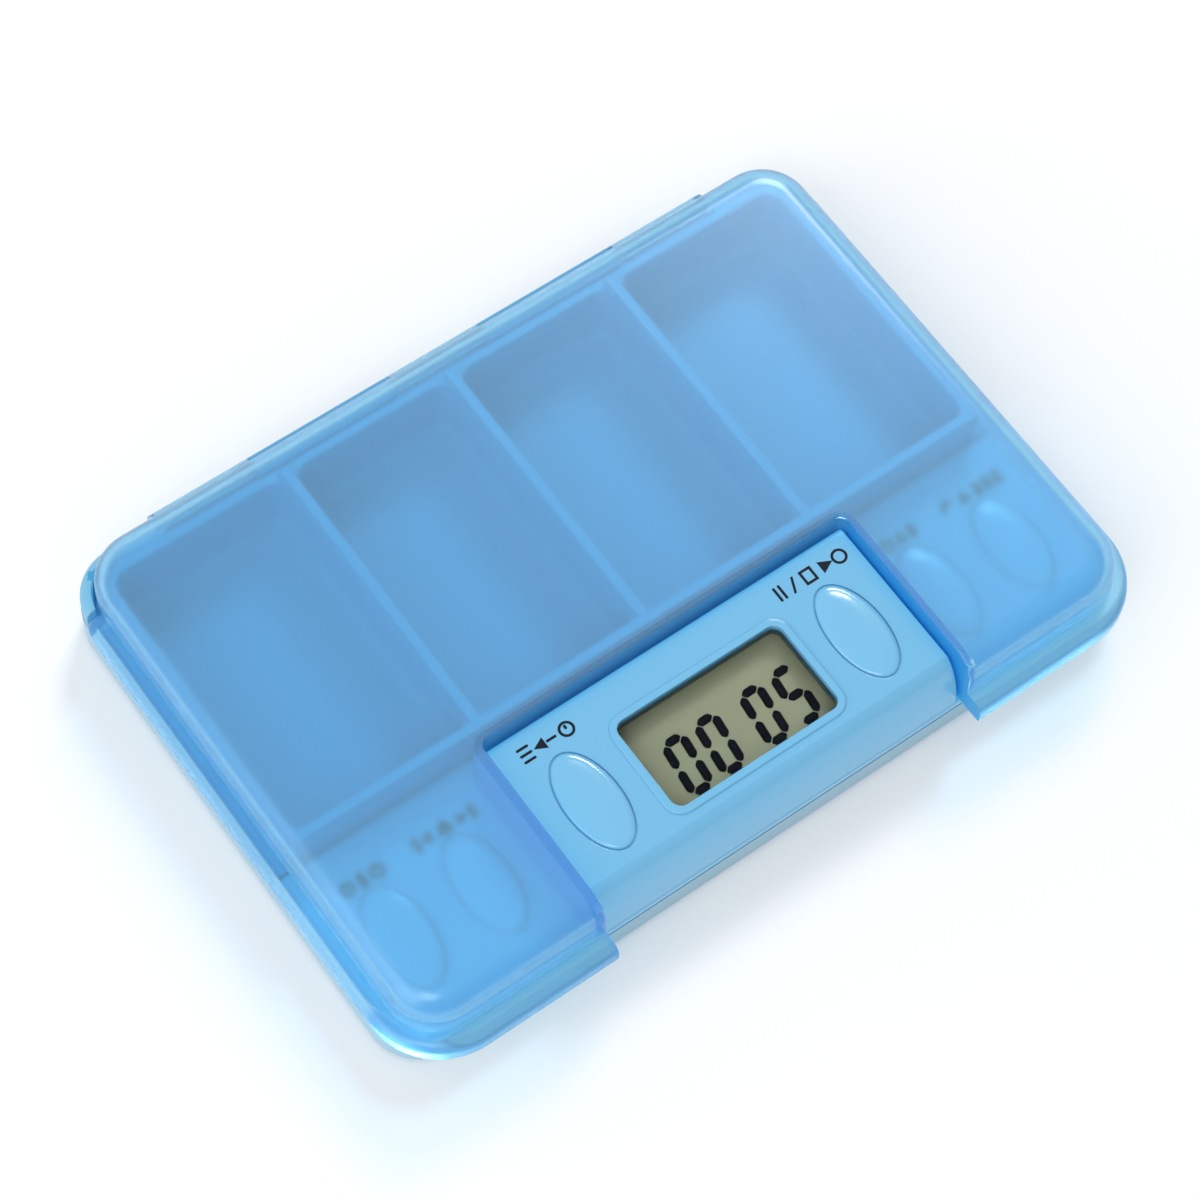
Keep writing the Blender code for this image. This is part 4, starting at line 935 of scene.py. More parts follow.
# %% Make the buttons
CAP_RIM_WIDTH = 0.0009
CAP_RIM_DROP = 0.0004
CAP_CROWN = 0.00012
CAP_REACH = 0.0026
CAP_CROWN_STEPS = 8
CAP_RIM_STEPS = 10
GROOVE_DEPTH = 0.00020
GROOVE_SLIT = 0.000006
STEM_R = 0.0014
FLANGE_T = 0.0005
FLANGE_DROP = 0.0002
FLANGE_LIFT = 0.00004


def cap_levels(node):
    """How far each level of a cap lies outside its oval, and how high."""
    top = button_place(node)[4]
    surface = BLOCK_TOP_Z if node in BLOCK_BUTTONS else SEAT_Z
    flange_z = (BLOCK_TOP_Z - SKIN_T if node in BLOCK_BUTTONS else COVER_UNDER_Z) - FLANGE_DROP
    levels = []
    for step in range(1, CAP_CROWN_STEPS + 1):
        share = step / CAP_CROWN_STEPS
        levels.append((-CAP_REACH + (CAP_REACH - CAP_RIM_WIDTH) * share, top - CAP_CROWN * share * share))
    for step in range(1, CAP_RIM_STEPS + 1):
        angle = math.pi / 2 * step / CAP_RIM_STEPS
        levels.append((-CAP_RIM_WIDTH * (1 - math.sin(angle)),
                       top - CAP_CROWN - CAP_RIM_DROP * (1 - math.cos(angle))))
    if node in BLOCK_BUTTONS:
        foot = BUTTON_GAP - GROOVE_SLIT
        levels += [(0, surface - GROOVE_DEPTH), (foot, surface - GROOVE_DEPTH), (foot, flange_z)]
    else:
        levels.append((0, flange_z))
    return levels + [(FLANGE_OUT, flange_z), (FLANGE_OUT, flange_z - FLANGE_T + FLANGE_LIFT)]


def make_cap(node, name):
    """Loft the levels' ovals, and stand the cap on its stem if it has one."""
    x, y, width, length, top = button_place(node)
    levels = cap_levels(node)
    cap = loft(name, [(oval(x, y, width + out * 2, length + out * 2), z) for out, z in levels])
    if node in BLOCK_BUTTONS:
        join(cap, post("stem", STEM_R, x, y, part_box(node)[0].z, levels[-1][1] + LAP))
    return dress(cap, cap_plastic, node, "button_blue", node)


for node in BLOCK_BUTTONS + WING_BUTTONS:
    make_cap(node, node.replace("_button", "_cap"))

# %% [markdown]
# ## The lid
#
# The lid is a shallow shell with broad rounded shoulders. Its lower edge flares into a band that sticks
# out in front as a finger lip and runs back along both sides. A rectangular notch with thin skirt walls
# lets the timer's block through. Outer and inner forms are both modelled, because light is bent at both.

# %% Size the lid
LID_HALF = TRAY_HALF + GAP + LID_WALL_T
LID_REAR_Y = TRAY_REAR_Y + GAP + LID_WALL_T
LID_FRONT_Y = -0.03295
LID_BODY_Z = 0.0084
LID_SHOULDER_R = 0.0034
BAND_CORNER_R = 0.009
BAND_EDGE_R = 0.0013
BAND_FOOT_R = 0.0004
BAND_REAR_Y = GUARD_FRONT_Y - GAP
BAND_REAR_R = 0.0015
BAND_ROOF_Z = 0.0073
NOTCH_GAP = 0.0004
NOTCH_HALF = BLOCK_HALF + NOTCH_GAP
NOTCH_REAR_Y = BLOCK_REAR_Y + GAP
NOTCH_CORNER_R = 0.0011
NOTCH_EDGE_R = 0.0003
HOUSING_REAR_GAP = 0.0005
HOUSING_EDGE_R = 0.0013
SKIRT_T = 0.001
LID_ROOF_Z = lid_high.z - LID_WALL_T
print("lid", round(LID_HALF * 2, 5), "roof", round(LID_ROOF_Z, 5))

# %% [markdown]
# ## The lid's outer form
#
# The body is a plate whose top edge gets one broad fillet, which is the soft shoulder. The band is a wider
# and lower plate, joined to it. A cut under the rear wall lets the case's guards come close.

# %% Make the lid's outer form


def lid_outer():
    """Body with its shoulders, joined to the flared band."""
    lid = plate("frosted_lid", rounded_box(-LID_HALF, LID_HALF, LID_FRONT_Y, LID_REAR_Y, LID_CORNER_R),
                lid_low.z + LAP, lid_high.z)
    fillet(lid, LID_SHOULDER_R, 12, at_height(lid_high.z))
    band = plate("band", rounded_box(-lid_high.x, lid_high.x, lid_low.y, BAND_REAR_Y, BAND_CORNER_R,
                                     BAND_REAR_R), lid_low.z, LID_BODY_Z)
    fillet(band, BAND_EDGE_R, 7, at_height(LID_BODY_Z))
    fillet(band, BAND_FOOT_R, 3, at_height(lid_low.z))
    join(lid, band)
    half = LID_HALF - LID_WALL_T / 2
    return cut(lid, box("rear", -half, half, LID_REAR_Y - LID_CORNER_R, case_high.y + OVERRUN, 0,
                        LID_BODY_Z + LAP))


frosted_lid = lid_outer()
print("outer faces", len(frosted_lid.data.polygons))

# %% [markdown]
# ## The lid's inside and notch
#
# The inside is the outer form again, smaller by the wall all round, and cut away. Round the notch thin
# skirt walls hang down first, and the opening is cut through them afterwards, so that its rim and the
# skirts meet in one clean edge.

# %% Hollow and notch the lid


def hollow_lid(lid):
    """Cut the inside of the body and of the band."""
    inside = plate("inside", rounded_box(-LID_HALF + LID_WALL_T, LID_HALF - LID_WALL_T,
                                         LID_FRONT_Y + LID_WALL_T, LID_REAR_Y - LID_WALL_T,
                                         LID_CORNER_R - LID_WALL_T), 0, LID_ROOF_Z)
    fillet(inside, LID_SHOULDER_R - LID_WALL_T, 8, at_height(LID_ROOF_Z))
    cut(lid, inside)
    cut(lid, plate("band_inside", rounded_box(-lid_high.x + LID_WALL_T, lid_high.x - LID_WALL_T,
                                              LID_FRONT_Y + LID_WALL_T, BAND_REAR_Y - LID_WALL_T,
                                              BAND_CORNER_R - LID_WALL_T, BAND_REAR_R - LID_WALL_T),
                   0, BAND_ROOF_Z))


def notch_lid(lid):
    """Hang skirt walls round the notch, then open it and soften its rim."""
    skirt = NOTCH_HALF + SKIRT_T
    join(lid, plate("skirt", rounded_box(-skirt, skirt, LID_FRONT_Y + LID_WALL_T / 2,
                                         NOTCH_REAR_Y + SKIRT_T, 0, NOTCH_CORNER_R + SKIRT_T),
                    lid_low.z, LID_ROOF_Z + LID_WALL_T / 2))
    cut(lid, plate("notch", rounded_box(-NOTCH_HALF, NOTCH_HALF, lid_low.y * 2, NOTCH_REAR_Y, 0,
                                        NOTCH_CORNER_R), 0, lid_high.z * 2))
    fillet(lid, NOTCH_EDGE_R, 3, lambda middle, edge: middle.z > LID_BODY_Z
           and abs(middle.x) < NOTCH_HALF + WELD and middle.y < NOTCH_REAR_Y + WELD
           and middle.y > LID_FRONT_Y - WELD)


hollow_lid(frosted_lid)
notch_lid(frosted_lid)
print("faces with the notch", len(frosted_lid.data.polygons))

# %% [markdown]
# ## The lid's knuckles
#
# Three knuckles belong to the lid. Each is a barrel in a small housing with a rounded rear edge. The rear
# wall is opened between them, where the tray's knuckles stand.

# %% Add the knuckles


def add_lid_knuckles(lid):
    """Open the rear wall over the tray's knuckles, and add three knuckles in housings."""
    wall_z = HINGE_Z + BARREL_R + KNUCKLE_GAP
    cut(lid, box("gap", -HINGE_HALF, HINGE_HALF, LID_REAR_Y - LID_WALL_T * 2, LID_REAR_Y + OVERRUN, 0,
                 wall_z))
    spans = [(-CENTRE_KNUCKLE_HALF, CENTRE_KNUCKLE_HALF), (-HINGE_HALF - KNUCKLE_GAP, -OUTER_KNUCKLE_X),
             (OUTER_KNUCKLE_X, HINGE_HALF + KNUCKLE_GAP)]
    rear_y = case_high.y - HOUSING_REAR_GAP
    top_z = wall_z + LAP
    for x0, x1 in spans:
        housing = box("housing", x0, x1, LID_REAR_Y - LID_WALL_T, rear_y, HINGE_Z, top_z)
        fillet(housing, HOUSING_EDGE_R, 6, lambda middle, edge: abs(middle.y - rear_y) < WELD
               and abs(middle.z - top_z) < WELD)
        join(lid, housing)
        join(lid, rod("barrel", BARREL_R, x0, x1, HINGE_Y, HINGE_Z))
    cut(lid, rod("bore", BORE_R, pin_low.x - GAP, pin_high.x + GAP, HINGE_Y, HINGE_Z))


add_lid_knuckles(frosted_lid)
print("faces with knuckles", len(frosted_lid.data.polygons))

# %% [markdown]
# ## The lid's finish
#
# The whole lid is frosted. The band looks a little deeper in colour, since it is seen on edge, and the
# skirts look strongly blue, because one looks along their walls. Both get painted shade: their own
# deeper tints of the same plastic, which stand in for the longer path of light through them.

# %% Dress the lid
dress(frosted_lid, frosted_plastic, "lid", "lid_frost", "lid")
# Painted shade: the deeper tint on the band's faces.
paint(frosted_lid, band_plastic_painted_shade, lambda middle, normal: middle.z < LID_BODY_Z + WELD
      and (abs(middle.x) > LID_HALF or middle.y < LID_FRONT_Y - WELD))
# Painted shade: the deep blue on the skirts' steep faces.
paint(frosted_lid, skirt_plastic_painted_shade, lambda middle, normal: abs(normal.z) < STEEP and middle.z < LID_ROOF_Z
      and NOTCH_HALF - WELD < abs(middle.x) < NOTCH_HALF + SKIRT_T + WELD
      and middle.y > LID_FRONT_Y + LID_WALL_T and middle.y < NOTCH_REAR_Y + SKIRT_T)

# %% [markdown]
# ## The display window
#
# A clear moulding closes the window from inside, a little below its ring. It is plain gloss with full
# transmission: the grey-green glass and its dark figures show through it. Its index is set low, since the
# pane is thin and its mirror image would else hide the figures. The sides of its plug lie in the shade of
# the window's walls, so a dark finish of their own paints that shade onto them.

# %% Make the window
CLEAR_IOR = 1.12
CLEAR_TINT = (0.96, 0.98, 0.97)
CLEAR_CLOUD = (0.97, 0.985, 0.98)
PANE_T = 0.0004
PANE_EDGE_R = 0.0001


def make_clear():
    """Clear gloss plastic, open to shadow rays so that the display isn't darkened."""
    material, tree, shader, skin = start_material("clear_window", CLEAR_TINT, CLEAR_CLOUD, 0.01, 0.03)
    shader.inputs["IOR"].default_value = CLEAR_IOR
    shader.inputs["Transmission Weight"].default_value = 1.0
    let_rays_pass(tree, shader, (1, 1, 1, 1), "Is Shadow Ray")
    return material


clear_window = make_clear()
plug_side_painted_shade = finish("plug_side_painted_shade", (0.006, 0.030, 0.045), (0.010, 0.040, 0.055), 0.3, 0.4, 0.02)
window_piece = plate("clear_pane", rounded_box(lens_low.x, lens_high.x, lens_low.y, lens_high.y,
                                               WINDOW_R + LENS_FLANGE), lens_low.z, lens_low.z + PANE_T)
join(window_piece, plate("plug", window_outline(-LENS_GAP), lens_low.z + PANE_T / 2, lens_high.z))
fillet(window_piece, PANE_EDGE_R, 2, at_height(lens_high.z))
dress(window_piece, clear_window, "base", "window_clear", "display_lens")
# Painted shade on the steep sides of the plug.
paint(window_piece, plug_side_painted_shade, lambda middle, normal: abs(normal.z) < STEEP
      and middle.z > lens_low.z + PANE_T)

# %% [markdown]
# ## The display and its figures
#
# The display is a thin glass sandwich with a grey-green reflector behind it. Seen from above both are one
# matt grey-green field, so a single plate with a fine grain stands for the sandwich, with its edges barely
# broken. The figures' ink is blacker than the printed marks and doesn't shine, since it lies in the glass.

# %% Make the display glass
GLASS_CORNER_R = 0.0004
GLASS_EDGE_R = 0.0001
display_tone = finish("display_tone", (0.168, 0.190, 0.121), (0.196, 0.213, 0.134), 0.18, 0.26, 0.02,
                      scales=(70.0, 2600.0))
figure_ink = finish("figure_ink", (0.003, 0.004, 0.006), (0.004, 0.005, 0.008), 0.6, 0.7, 0.02, shine=0.0)
display_piece = plate("display_panel", rounded_box(glass_low.x, glass_high.x, glass_low.y, glass_high.y,
                                                   GLASS_CORNER_R), glass_low.z, glass_high.z)
fillet(display_piece, GLASS_EDGE_R, 2, at_height(glass_high.z))
dress(display_piece, display_tone, "base", "display_glass", "lcd_glass")

# %% [markdown]
# ## The figures
#
# Each figure is drawn in bars with pointed ends that almost touch, as a display's electrodes are. Upright
# and level bars differ in length, so each kind has its own shape. A font could write the figures, but its
# shapes would not be these.

# %% Draw the bars
FIGURE_WIDTH = 0.00335
FIGURE_HEIGHT = 0.0074
BAR_WIDTH = 0.00104
BAR_GAP = 0.00011
BAR_BLUNT = 0.00012
BAR_T = 0.00003


def make_bar(name, span):
    """One bar with pointed ends, lying along X, for corners that are a span apart."""
    tip = BAR_WIDTH / 2
    half = (span - BAR_GAP * math.sqrt(2)) / 2
    ends = [(-half + BAR_BLUNT, -BAR_BLUNT), (-half + tip, -tip), (half - tip, -tip),
            (half - BAR_BLUNT, -BAR_BLUNT)]
    return flat_mesh(name, [ends + [(x, -y) for x, y in reversed(ends)]], BAR_T, Matrix.Identity(4))


bar_spans = {"figure_uprights": (FIGURE_HEIGHT - BAR_WIDTH) / 2, "figure_levels": FIGURE_WIDTH - BAR_WIDTH}
print("bars span", {name: round(span, 5) for name, span in bar_spans.items()})

# %% [markdown]
# ## Where the bars lie
#
# The lit bars are points of a mesh, with their turn as an attribute. Such a mesh has no faces, and
# Geometry Nodes can read it. The dictionaries say which bars of a figure are lit.

# %% Lay out the points
FIGURE_PITCH = 0.00427
MIDDLE_PITCH = 0.00604
FIGURES = "0005"
UPRIGHTS = {"0": [(-1, 1), (1, 1), (-1, -1), (1, -1)], "5": [(-1, 1), (1, -1)]}
LEVELS = {"0": [1, -1], "5": [1, 0, -1]}


def point_mesh(name, places, turns):
    """An object that is only points, each with its turn as an attribute."""
    mesh = bpy.data.meshes.new(name)
    mesh.from_pydata(places, [], [])
    mesh.attributes.new("turn", "FLOAT", "POINT").data.foreach_set("value", turns)
    points = bpy.data.objects.new(name, mesh)
    bpy.context.scene.collection.objects.link(points)
    return points


def bar_places():
    """Where the lit upright bars and the lit level bars lie."""
    middle = (MIDDLE_PITCH - FIGURE_PITCH) / 2
    across, rise = (FIGURE_WIDTH - BAR_WIDTH) / 2, (FIGURE_HEIGHT - BAR_WIDTH) / 2
    uprights, levels = [], []
    for count, figure in enumerate(FIGURES):
        centre = (count - 1.5) * FIGURE_PITCH + (middle if count > 1 else -middle)
        uprights += [(centre + x * across, y * rise / 2, 0) for x, y in UPRIGHTS[figure]]
        levels += [(centre, y * rise, 0) for y in LEVELS[figure]]
    return uprights, levels


upright_places, level_places = bar_places()
print("lit bars", len(upright_places), "upright", len(level_places), "level")

# %% [markdown]
# ## Copies on points
#
# Bars and screws repeat, so one small tree of Geometry Nodes puts a shape on every point of a mesh and
# turns it by the point's attribute. The copies are made real and given their finish inside the tree, and
# the result is kept as a plain mesh, which the export can read.

# %% Build the placing tree


def socket_id(tree, name):
    """The identifier of a named group input."""
    return next(item.identifier for item in tree.interface.items_tree
                if item.name == name and item.in_out == "INPUT")


def attribute(tree, name):
    """A node that reads one float attribute."""
    node = add_node(tree, "GeometryNodeInputNamedAttribute", data_type="FLOAT")
    node.inputs["Name"].default_value = name
    return node.outputs["Attribute"]


def make_placing_tree(name):
    """Put an object on every point, turned by the point's attribute."""
    tree = bpy.data.node_groups.new(name, "GeometryNodeTree")
    group_socket(tree, "Geometry", "NodeSocketGeometry")
    group_socket(tree, "Shape", "NodeSocketObject")
    group_socket(tree, "Finish", "NodeSocketMaterial")
    group_socket(tree, "Geometry", "NodeSocketGeometry", output=True)
    source = add_node(tree, "NodeGroupInput")
    result = add_node(tree, "NodeGroupOutput")
    shape = add_node(tree, "GeometryNodeObjectInfo")
    turn = add_node(tree, "ShaderNodeCombineXYZ")
    put = add_node(tree, "GeometryNodeInstanceOnPoints")
    real = add_node(tree, "GeometryNodeRealizeInstances")
    paint = add_node(tree, "GeometryNodeSetMaterial")
    tree.links.new(source.outputs["Shape"], shape.inputs["Object"])
    tree.links.new(attribute(tree, "turn"), turn.inputs["Z"])
    tree.links.new(source.outputs["Geometry"], put.inputs["Points"])
    tree.links.new(shape.outputs["Geometry"], put.inputs["Instance"])
    tree.links.new(turn.outputs["Vector"], put.inputs["Rotation"])
    tree.links.new(put.outputs["Instances"], real.inputs["Geometry"])
    tree.links.new(real.outputs["Geometry"], paint.inputs["Geometry"])
    tree.links.new(source.outputs["Finish"], paint.inputs["Material"])
    tree.links.new(paint.outputs["Geometry"], result.inputs["Geometry"])
    return tree


def place_copies(points, tree, shape, material):
    """Run the tree on the points and keep the result as a plain mesh."""
    step = points.modifiers.new("copies", "NODES")
    step.node_group = tree
    step[socket_id(tree, "Shape")] = shape
    step[socket_id(tree, "Finish")] = material
    graph = bpy.context.evaluated_depsgraph_get()
    mesh = bpy.data.meshes.new_from_object(points.evaluated_get(graph))
    points.modifiers.clear()
    old = points.data
    points.data = mesh
    bpy.data.meshes.remove(old)
    bpy.data.objects.remove(shape)
    return points


placing_tree = make_placing_tree("put_on_points")
print("placing tree", len(placing_tree.nodes), "nodes")

# %% [markdown]
# ## Italic figures
#
# The display's figures lean to the right. All bars are placed upright first, and one shear at the end
# makes all of them italic, so nothing has to be drawn aslant.

# %% Place the bars
FIGURE_SLANT = math.radians(6)
FIGURES_X = 0.00100
FIGURES_Y = -0.02285
slant = Matrix.Translation((FIGURES_X, FIGURES_Y, glass_high.z + BAR_T))
slant[0][1] = math.tan(FIGURE_SLANT)
for name, places, turn in (("figure_uprights", upright_places, math.pi / 2),
                           ("figure_levels", level_places, 0)):
    points = point_mesh(name, places, [turn] * len(places))
    figures = place_copies(points, placing_tree, make_bar(name + "_bar", bar_spans[name]), figure_ink)
    figures.data.transform(slant)
    dress(figures, figure_ink, "base", "display_glass")

# %% [markdown]
# ## Printed marks
#
# Each button has a small dark mark printed behind it. Plain pictograms stand there: a list, an arrow and a
# clock face for recall, a pause sign, a slash, a frame, a pointer and a ring for power, and clock faces, a
# bell and pointers under the lid's wings. An image could hold them, but outlines stay sharp at any
# distance. Each mark is one filled 2D curve with many outlines, a hair thicker than nothing. No two
# outlines of a mark overlap, because the fill counts a place that is covered twice as a hole.

# %% Draw the simple shapes
INK_T = 0.00003
BAR_CORNER_SHARE = 0.35
STROKE = 0.00030
BOLD = 0.00048
TALL = 0.0019


def ring(x, y, outer, inner, steps=40):
    """Two outlines that make a ring."""
    return [oval(x, y, outer * 2, outer * 2, steps), oval(x, y, inner * 2, inner * 2, steps)[::-1]]


def bar(x, y, width, height):
    """A bar with round corners."""
    radius = min(width, height) * BAR_CORNER_SHARE
    return [rounded_box(x - width / 2, x + width / 2, y - height / 2, y + height / 2, radius, steps=4)]


def slash(x, y, width, height, thick):
    """A leaning bar."""
    return [[(x - width / 2 - thick / 2, y - height / 2), (x - width / 2 + thick / 2, y - height / 2),
             (x + width / 2 + thick / 2, y + height / 2), (x + width / 2 - thick / 2, y + height / 2)]]


def arrow(x, y, size, turn):
    """A triangle that points along its turn."""
    corners = [(size, 0), (-size * 0.6, size * 0.8), (-size * 0.6, -size * 0.8)]
    return [[(x + a * math.cos(turn) - b * math.sin(turn), y + a * math.sin(turn) + b * math.cos(turn))
             for a, b in corners]]


def frame_mark(x, y, width, height, thick):
    """A square frame: two outlines."""
    outer = [(x - width / 2, y - height / 2), (x + width / 2, y - height / 2),
             (x + width / 2, y + height / 2), (x - width / 2, y + height / 2)]
    inner = [(x + (a - x) * (1 - 2 * thick / width), y + (b - y) * (1 - 2 * thick / height))
             for a, b in reversed(outer)]
    return [outer, inner]


def clock(x, y, radius, reach, thick=STROKE):
    """A clock face with one upright hand."""
    return ring(x, y, radius, radius - thick) + bar(x, y + reach / 2, thick, reach)


def bell(x, y, size):
    """A bell with its clapper."""
    dome = [(x + size * 0.7 * math.cos(k * math.pi / 12), y + size * 0.85 * math.sin(k * math.pi / 12))
            for k in range(13)]
    skirt = [(x - size, y - size * 0.55), (x + size, y - size * 0.55)]
    return [dome + skirt] + bar(x, y - size * 0.82, size * 0.6, size * 0.26)


print("strokes", STROKE, "to", BOLD)

# %% [markdown]
# ## The marks of the raised block
#
# These two lie in the open, so they are drawn with thin strokes. Each function places the simple shapes
# round one point, which makes it easy to move a mark as a whole.

# %% Draw the marks of the block


def recall_mark(x, y):
    """A list of three lines, a return arrow and a clock face."""
    shapes = []
    for line in (-1, 0, 1):
        shapes += bar(x - 0.00270, y + line * (TALL - STROKE) / 2, 0.0015, STROKE)
    shapes += arrow(x - 0.00080, y, 0.0009, math.pi) + bar(x + 0.00055, y, 0.0013, STROKE)
    return shapes + clock(x + 0.00255, y, TALL / 2, 0.00055)


def power_mark(x, y):
    """A pause sign, a slash, a frame, a pointer and a ring."""
    shapes = bar(x - 0.00450, y, STROKE, TALL) + bar(x - 0.00385, y, STROKE, TALL)
    shapes += slash(x - 0.00235, y, 0.0008, TALL, STROKE)
    shapes += frame_mark(x - 0.00030, y, 0.0016, TALL, STROKE) + arrow(x + 0.00200, y, 0.0010, 0)
    return shapes + ring(x + 0.00395, y, TALL / 2, TALL / 2 - STROKE)


print("outlines on the block", len(recall_mark(0, 0)) + len(power_mark(0, 0)))

# %% [markdown]
# ## The marks under the lid
#
# The lid blurs the marks on the wings, so bolder strokes are used there: a thin one would fade away in the
# haze.

# %% Draw the marks of the wings


def clock_mark(x, y):
    """A clock face, a bar and a second clock face."""
    return (clock(x - 0.0019, y, TALL / 2, 0.0004, BOLD) + bar(x, y, BOLD * 2, TALL)
            + clock(x + 0.0019, y, TALL / 2, 0.0004, BOLD))


def bell_mark(x, y):
    """A bell between two pointers and two bars."""
    shapes = bell(x, y, 0.0011)
    for side in (-1, 1):
        shapes += arrow(x + side * 0.0022, y, 0.0010, math.pi * (1 - side) / 2)
        shapes += bar(x + side * 0.0036, y, BOLD * 1.5, TALL)
    return shapes


def hour_mark(x, y):
    """A clock face with its short hand, a pointer up and a bar."""
    return (clock(x - 0.0015, y, TALL / 2, 0.0003, BOLD) + arrow(x + 0.0005, y, 0.0010, math.pi / 2)
            + bar(x + 0.0021, y, BOLD * 2, TALL))


def minute_mark(x, y):
    """A clock face with its long hand, a pointer up and three bars."""
    shapes = clock(x - 0.0032, y, TALL / 2, 0.0005, BOLD) + arrow(x - 0.0010, y, 0.0011, math.pi / 2)
    for count in range(3):
        shapes += bar(x + 0.0010 + count * 0.0014, y, BOLD * 2, TALL)
    return shapes


wing_marks = [clock_mark, bell_mark, hour_mark, minute_mark]
print("outlines on the wings", sum(len(draw(0, 0)) for draw in wing_marks))

# %% [markdown]
# ## Printing the marks
#
# The marks of the block lie on its top, and those of the wings lie lower, on the wings. The same step
# turns each set of outlines into a flat mesh and dresses it with ink.

# %% Put the marks in their places
BLOCK_MARK_Y = -0.0128
WING_MARK_Y = -0.0126
MARKS = {"recall_button": recall_mark, "power_button": power_mark, "clock_button": clock_mark,
         "alarm_button": bell_mark, "hour_button": hour_mark, "minute_button": minute_mark}
for node, draw in MARKS.items():
    x = button_place(node)[0]
    surface, y = (BLOCK_TOP_Z, BLOCK_MARK_Y) if node in BLOCK_BUTTONS else (SEAT_Z, WING_MARK_Y)
    mark = flat_mesh(node.replace("_button", "_mark"), draw(x, y), INK_T,
                     Matrix.Translation((0, 0, surface + INK_T / 2)))
    dress(mark, black_ink, "base", "panel_blue")

# %% [markdown]
# ## Case screws
#
# Four small slotted screws hold the case together from below. They are alike, so one is turned and
# slotted, and the placing tree puts it on the four posts.

# %% Make the screws
screw_steel = finish("screw_steel", (0.50, 0.50, 0.52), (0.58, 0.58, 0.60), 0.28, 0.42, 0.1, metallic=1.0,
                     scales=(300.0, 4000.0))
screw_low, screw_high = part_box("case_screw_1")
SCREW_HEAD_R = (screw_high.x - screw_low.x) / 2
SCREW_HEAD_T = 0.0006
SCREW_R = 0.00072
SCREW_EDGE_R = 0.00015
SLOT_HALF = 0.0002
SLOT_DEPTH = 0.0003
SLOT_TURNS = [0.4, 1.9, 2.6, 0.9]


def make_screw():
    """A head with a rounded rim, a shank and a slot."""
    screw = post("screw", SCREW_HEAD_R, 0, 0, screw_low.z, screw_low.z + SCREW_HEAD_T, 40)
    fillet(screw, SCREW_EDGE_R, 3, at_height(screw_low.z))
    join(screw, post("shank", SCREW_R, 0, 0, screw_low.z + SCREW_HEAD_T / 2, screw_high.z, 24))
    return cut(screw, box("slot", -SCREW_HEAD_R * 2, SCREW_HEAD_R * 2, -SLOT_HALF, SLOT_HALF, -OVERRUN,
                          screw_low.z + SLOT_DEPTH))


screw_points = point_mesh("case_screws", [(x, y, 0) for x, y in screw_places()], SLOT_TURNS)
case_screws = place_copies(screw_points, placing_tree, make_screw(), screw_steel)
dress(case_screws, screw_steel, "base", "screw_steel", *SCREW_NODES)

# %% [markdown]
# ## Finishes for the pieces inside
#
# The board, the cells and the small parts keep their solids. They only need their own finishes, in case
# the lid or the door is open or the case is looked at in parts.

# %% Dress the solids that stay
inner_finishes = {
    "hinge_pin": finish("pin_steel", (0.60, 0.60, 0.62), (0.66, 0.66, 0.68), 0.2, 0.32, 0.1, metallic=1.0),
    "circuit_board": finish("solder_mask", (0.03, 0.16, 0.06), (0.05, 0.22, 0.08), 0.35, 0.5, 0.1,
                            scales=(500.0, 3000.0)),
    "dome_sheet": finish("dome_film", (0.70, 0.70, 0.66), (0.78, 0.78, 0.74), 0.3, 0.45, 0.05),
    "lcd_holder": finish("holder_white", (0.74, 0.74, 0.72), (0.80, 0.80, 0.78), 0.4, 0.5, 0.05),
    "lcd_backing": finish("reflector", (0.30, 0.32, 0.24), (0.36, 0.38, 0.29), 0.3, 0.4, 0.05),
    "zebra_strip": finish("zebra_rubber", (0.05, 0.05, 0.055), (0.30, 0.20, 0.16), 0.6, 0.8, 0.1,
                          scales=(2500.0, 4000.0)),
    "chip_blob": finish("chip_epoxy", (0.01, 0.01, 0.01), (0.02, 0.02, 0.02), 0.2, 0.35, 0.1),
    "crystal_can": finish("can_metal", (0.66, 0.66, 0.66), (0.74, 0.74, 0.74), 0.2, 0.3, 0.05, metallic=1.0),
    "buzzer": finish("buzzer_black", (0.015, 0.015, 0.015), (0.03, 0.03, 0.03), 0.4, 0.55, 0.1),
    "capacitor": finish("capacitor_tan", (0.38, 0.27, 0.16), (0.46, 0.33, 0.20), 0.4, 0.5, 0.1),
    "cell": finish("cell_steel", (0.66, 0.66, 0.64), (0.74, 0.74, 0.72), 0.18, 0.32, 0.1, metallic=1.0),
    "contact": finish("contact_nickel", (0.66, 0.62, 0.52), (0.74, 0.70, 0.60), 0.22, 0.34, 0.1,
                      metallic=1.0),
    "battery_door": tray_plastic,
}
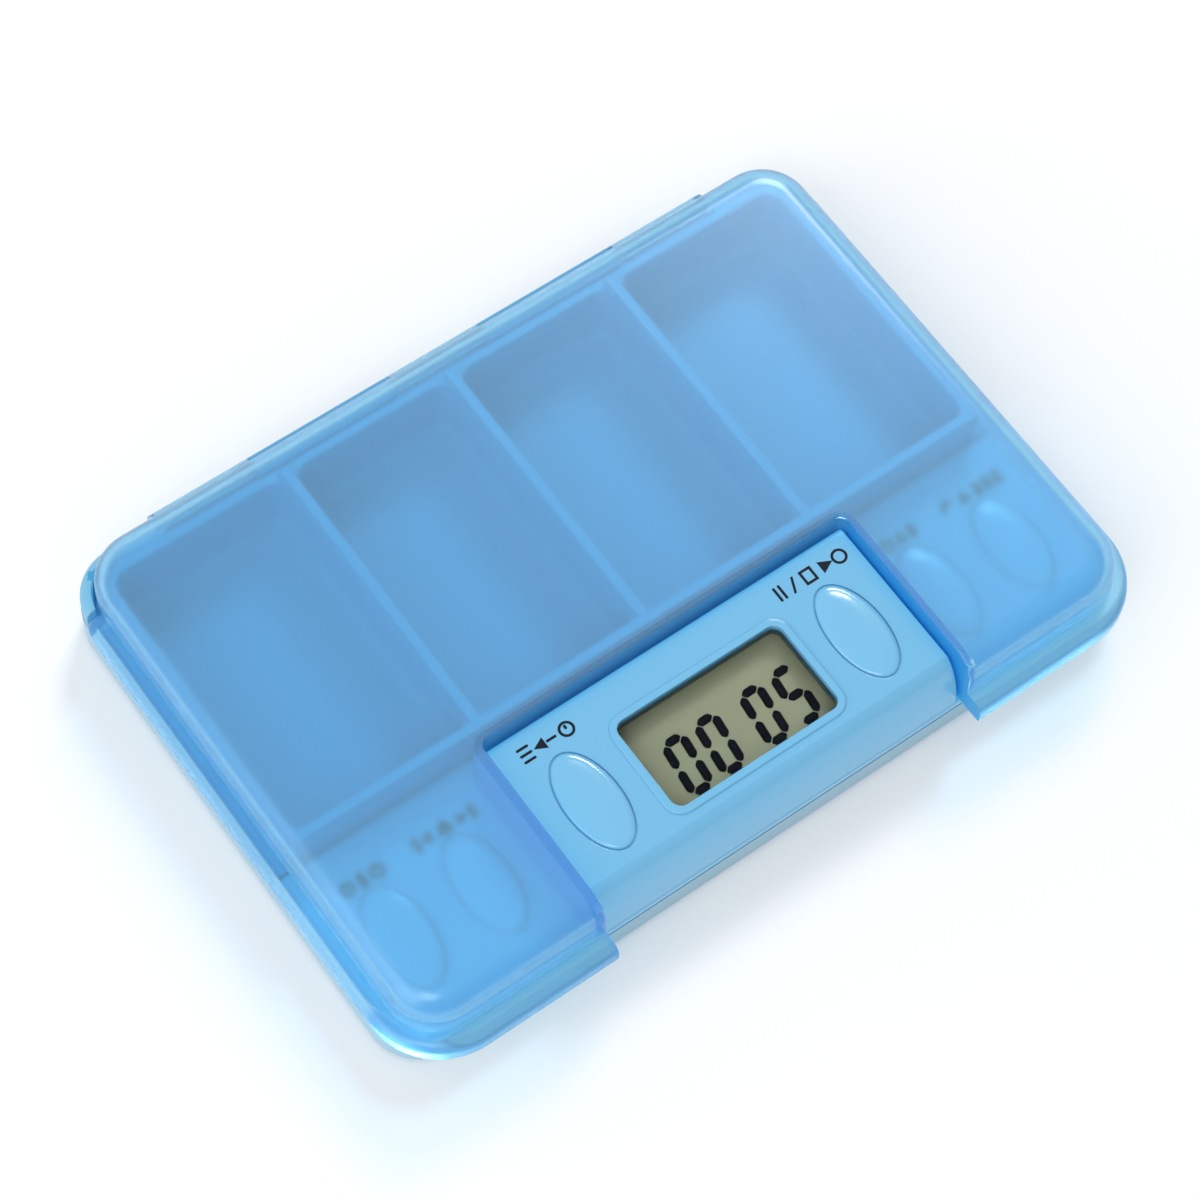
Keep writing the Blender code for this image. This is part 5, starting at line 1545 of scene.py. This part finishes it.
for node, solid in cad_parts.items():
    for prefix, material in inner_finishes.items():
        if node.startswith(prefix):
            solid.data.materials.clear()
            solid.data.materials.append(material)
print("inner finishes", len(inner_finishes))

# %% [markdown]
# ## Floor and light
#
# A pale sheet in a bright, even studio. The world gives soft light from everywhere. A broad lamp on the
# left draws the long highlights, one in front lights the rims of the caps and of the lid, and one behind on
# the right throws the soft shades inside the compartments. The left lamp is wide and weak, because a small
# strong one would be mirrored in the lid as a white patch when it is seen from the right.

# %% Make the stage
FLOOR_SIZE = 3.0
FLOOR_DROP = 0.00005
SKY_COLOUR = (0.95, 0.97, 1.0, 1)
SKY_STRENGTH = 0.64


def make_floor():
    """A wide pale sheet with the faintest grain."""
    work = bmesh.new()
    bmesh.ops.create_grid(work, x_segments=1, y_segments=1, size=FLOOR_SIZE,
                          matrix=Matrix.Translation((0, 0, -FLOOR_DROP)))
    floor = as_object("pale_floor", work)
    floor.data.materials.append(finish("pale_sheet", (0.90, 0.90, 0.90), (0.92, 0.92, 0.92), 0.6, 0.7,
                                       0.02, scales=(3.0, 400.0)))


def make_lamp(name, place, size, power):
    """A square area lamp aimed at the object."""
    data = bpy.data.lights.new(name, "AREA")
    data.shape = "SQUARE"
    data.size = size
    data.energy = power
    lamp = bpy.data.objects.new(name, data)
    lamp.location = place
    lamp.rotation_euler = (-Vector(place)).to_track_quat("-Z", "Y").to_euler()
    bpy.context.scene.collection.objects.link(lamp)


def make_world():
    """Even light from all round."""
    world = bpy.data.worlds.new("studio")
    world.use_nodes = True
    backdrop = world.node_tree.nodes["Background"]
    backdrop.inputs["Color"].default_value = SKY_COLOUR
    backdrop.inputs["Strength"].default_value = SKY_STRENGTH
    bpy.context.scene.world = world


make_floor()
make_world()
make_lamp("left_softbox", (-0.75, -0.08, 0.36), 0.70, 3.1)
make_lamp("front_softbox", (-0.38, -0.34, 0.62), 0.30, 1.1)
make_lamp("rear_softbox", (0.44, 0.40, 0.56), 0.20, 2.2)
print("lamps", len(bpy.data.lights), "world strength", SKY_STRENGTH)
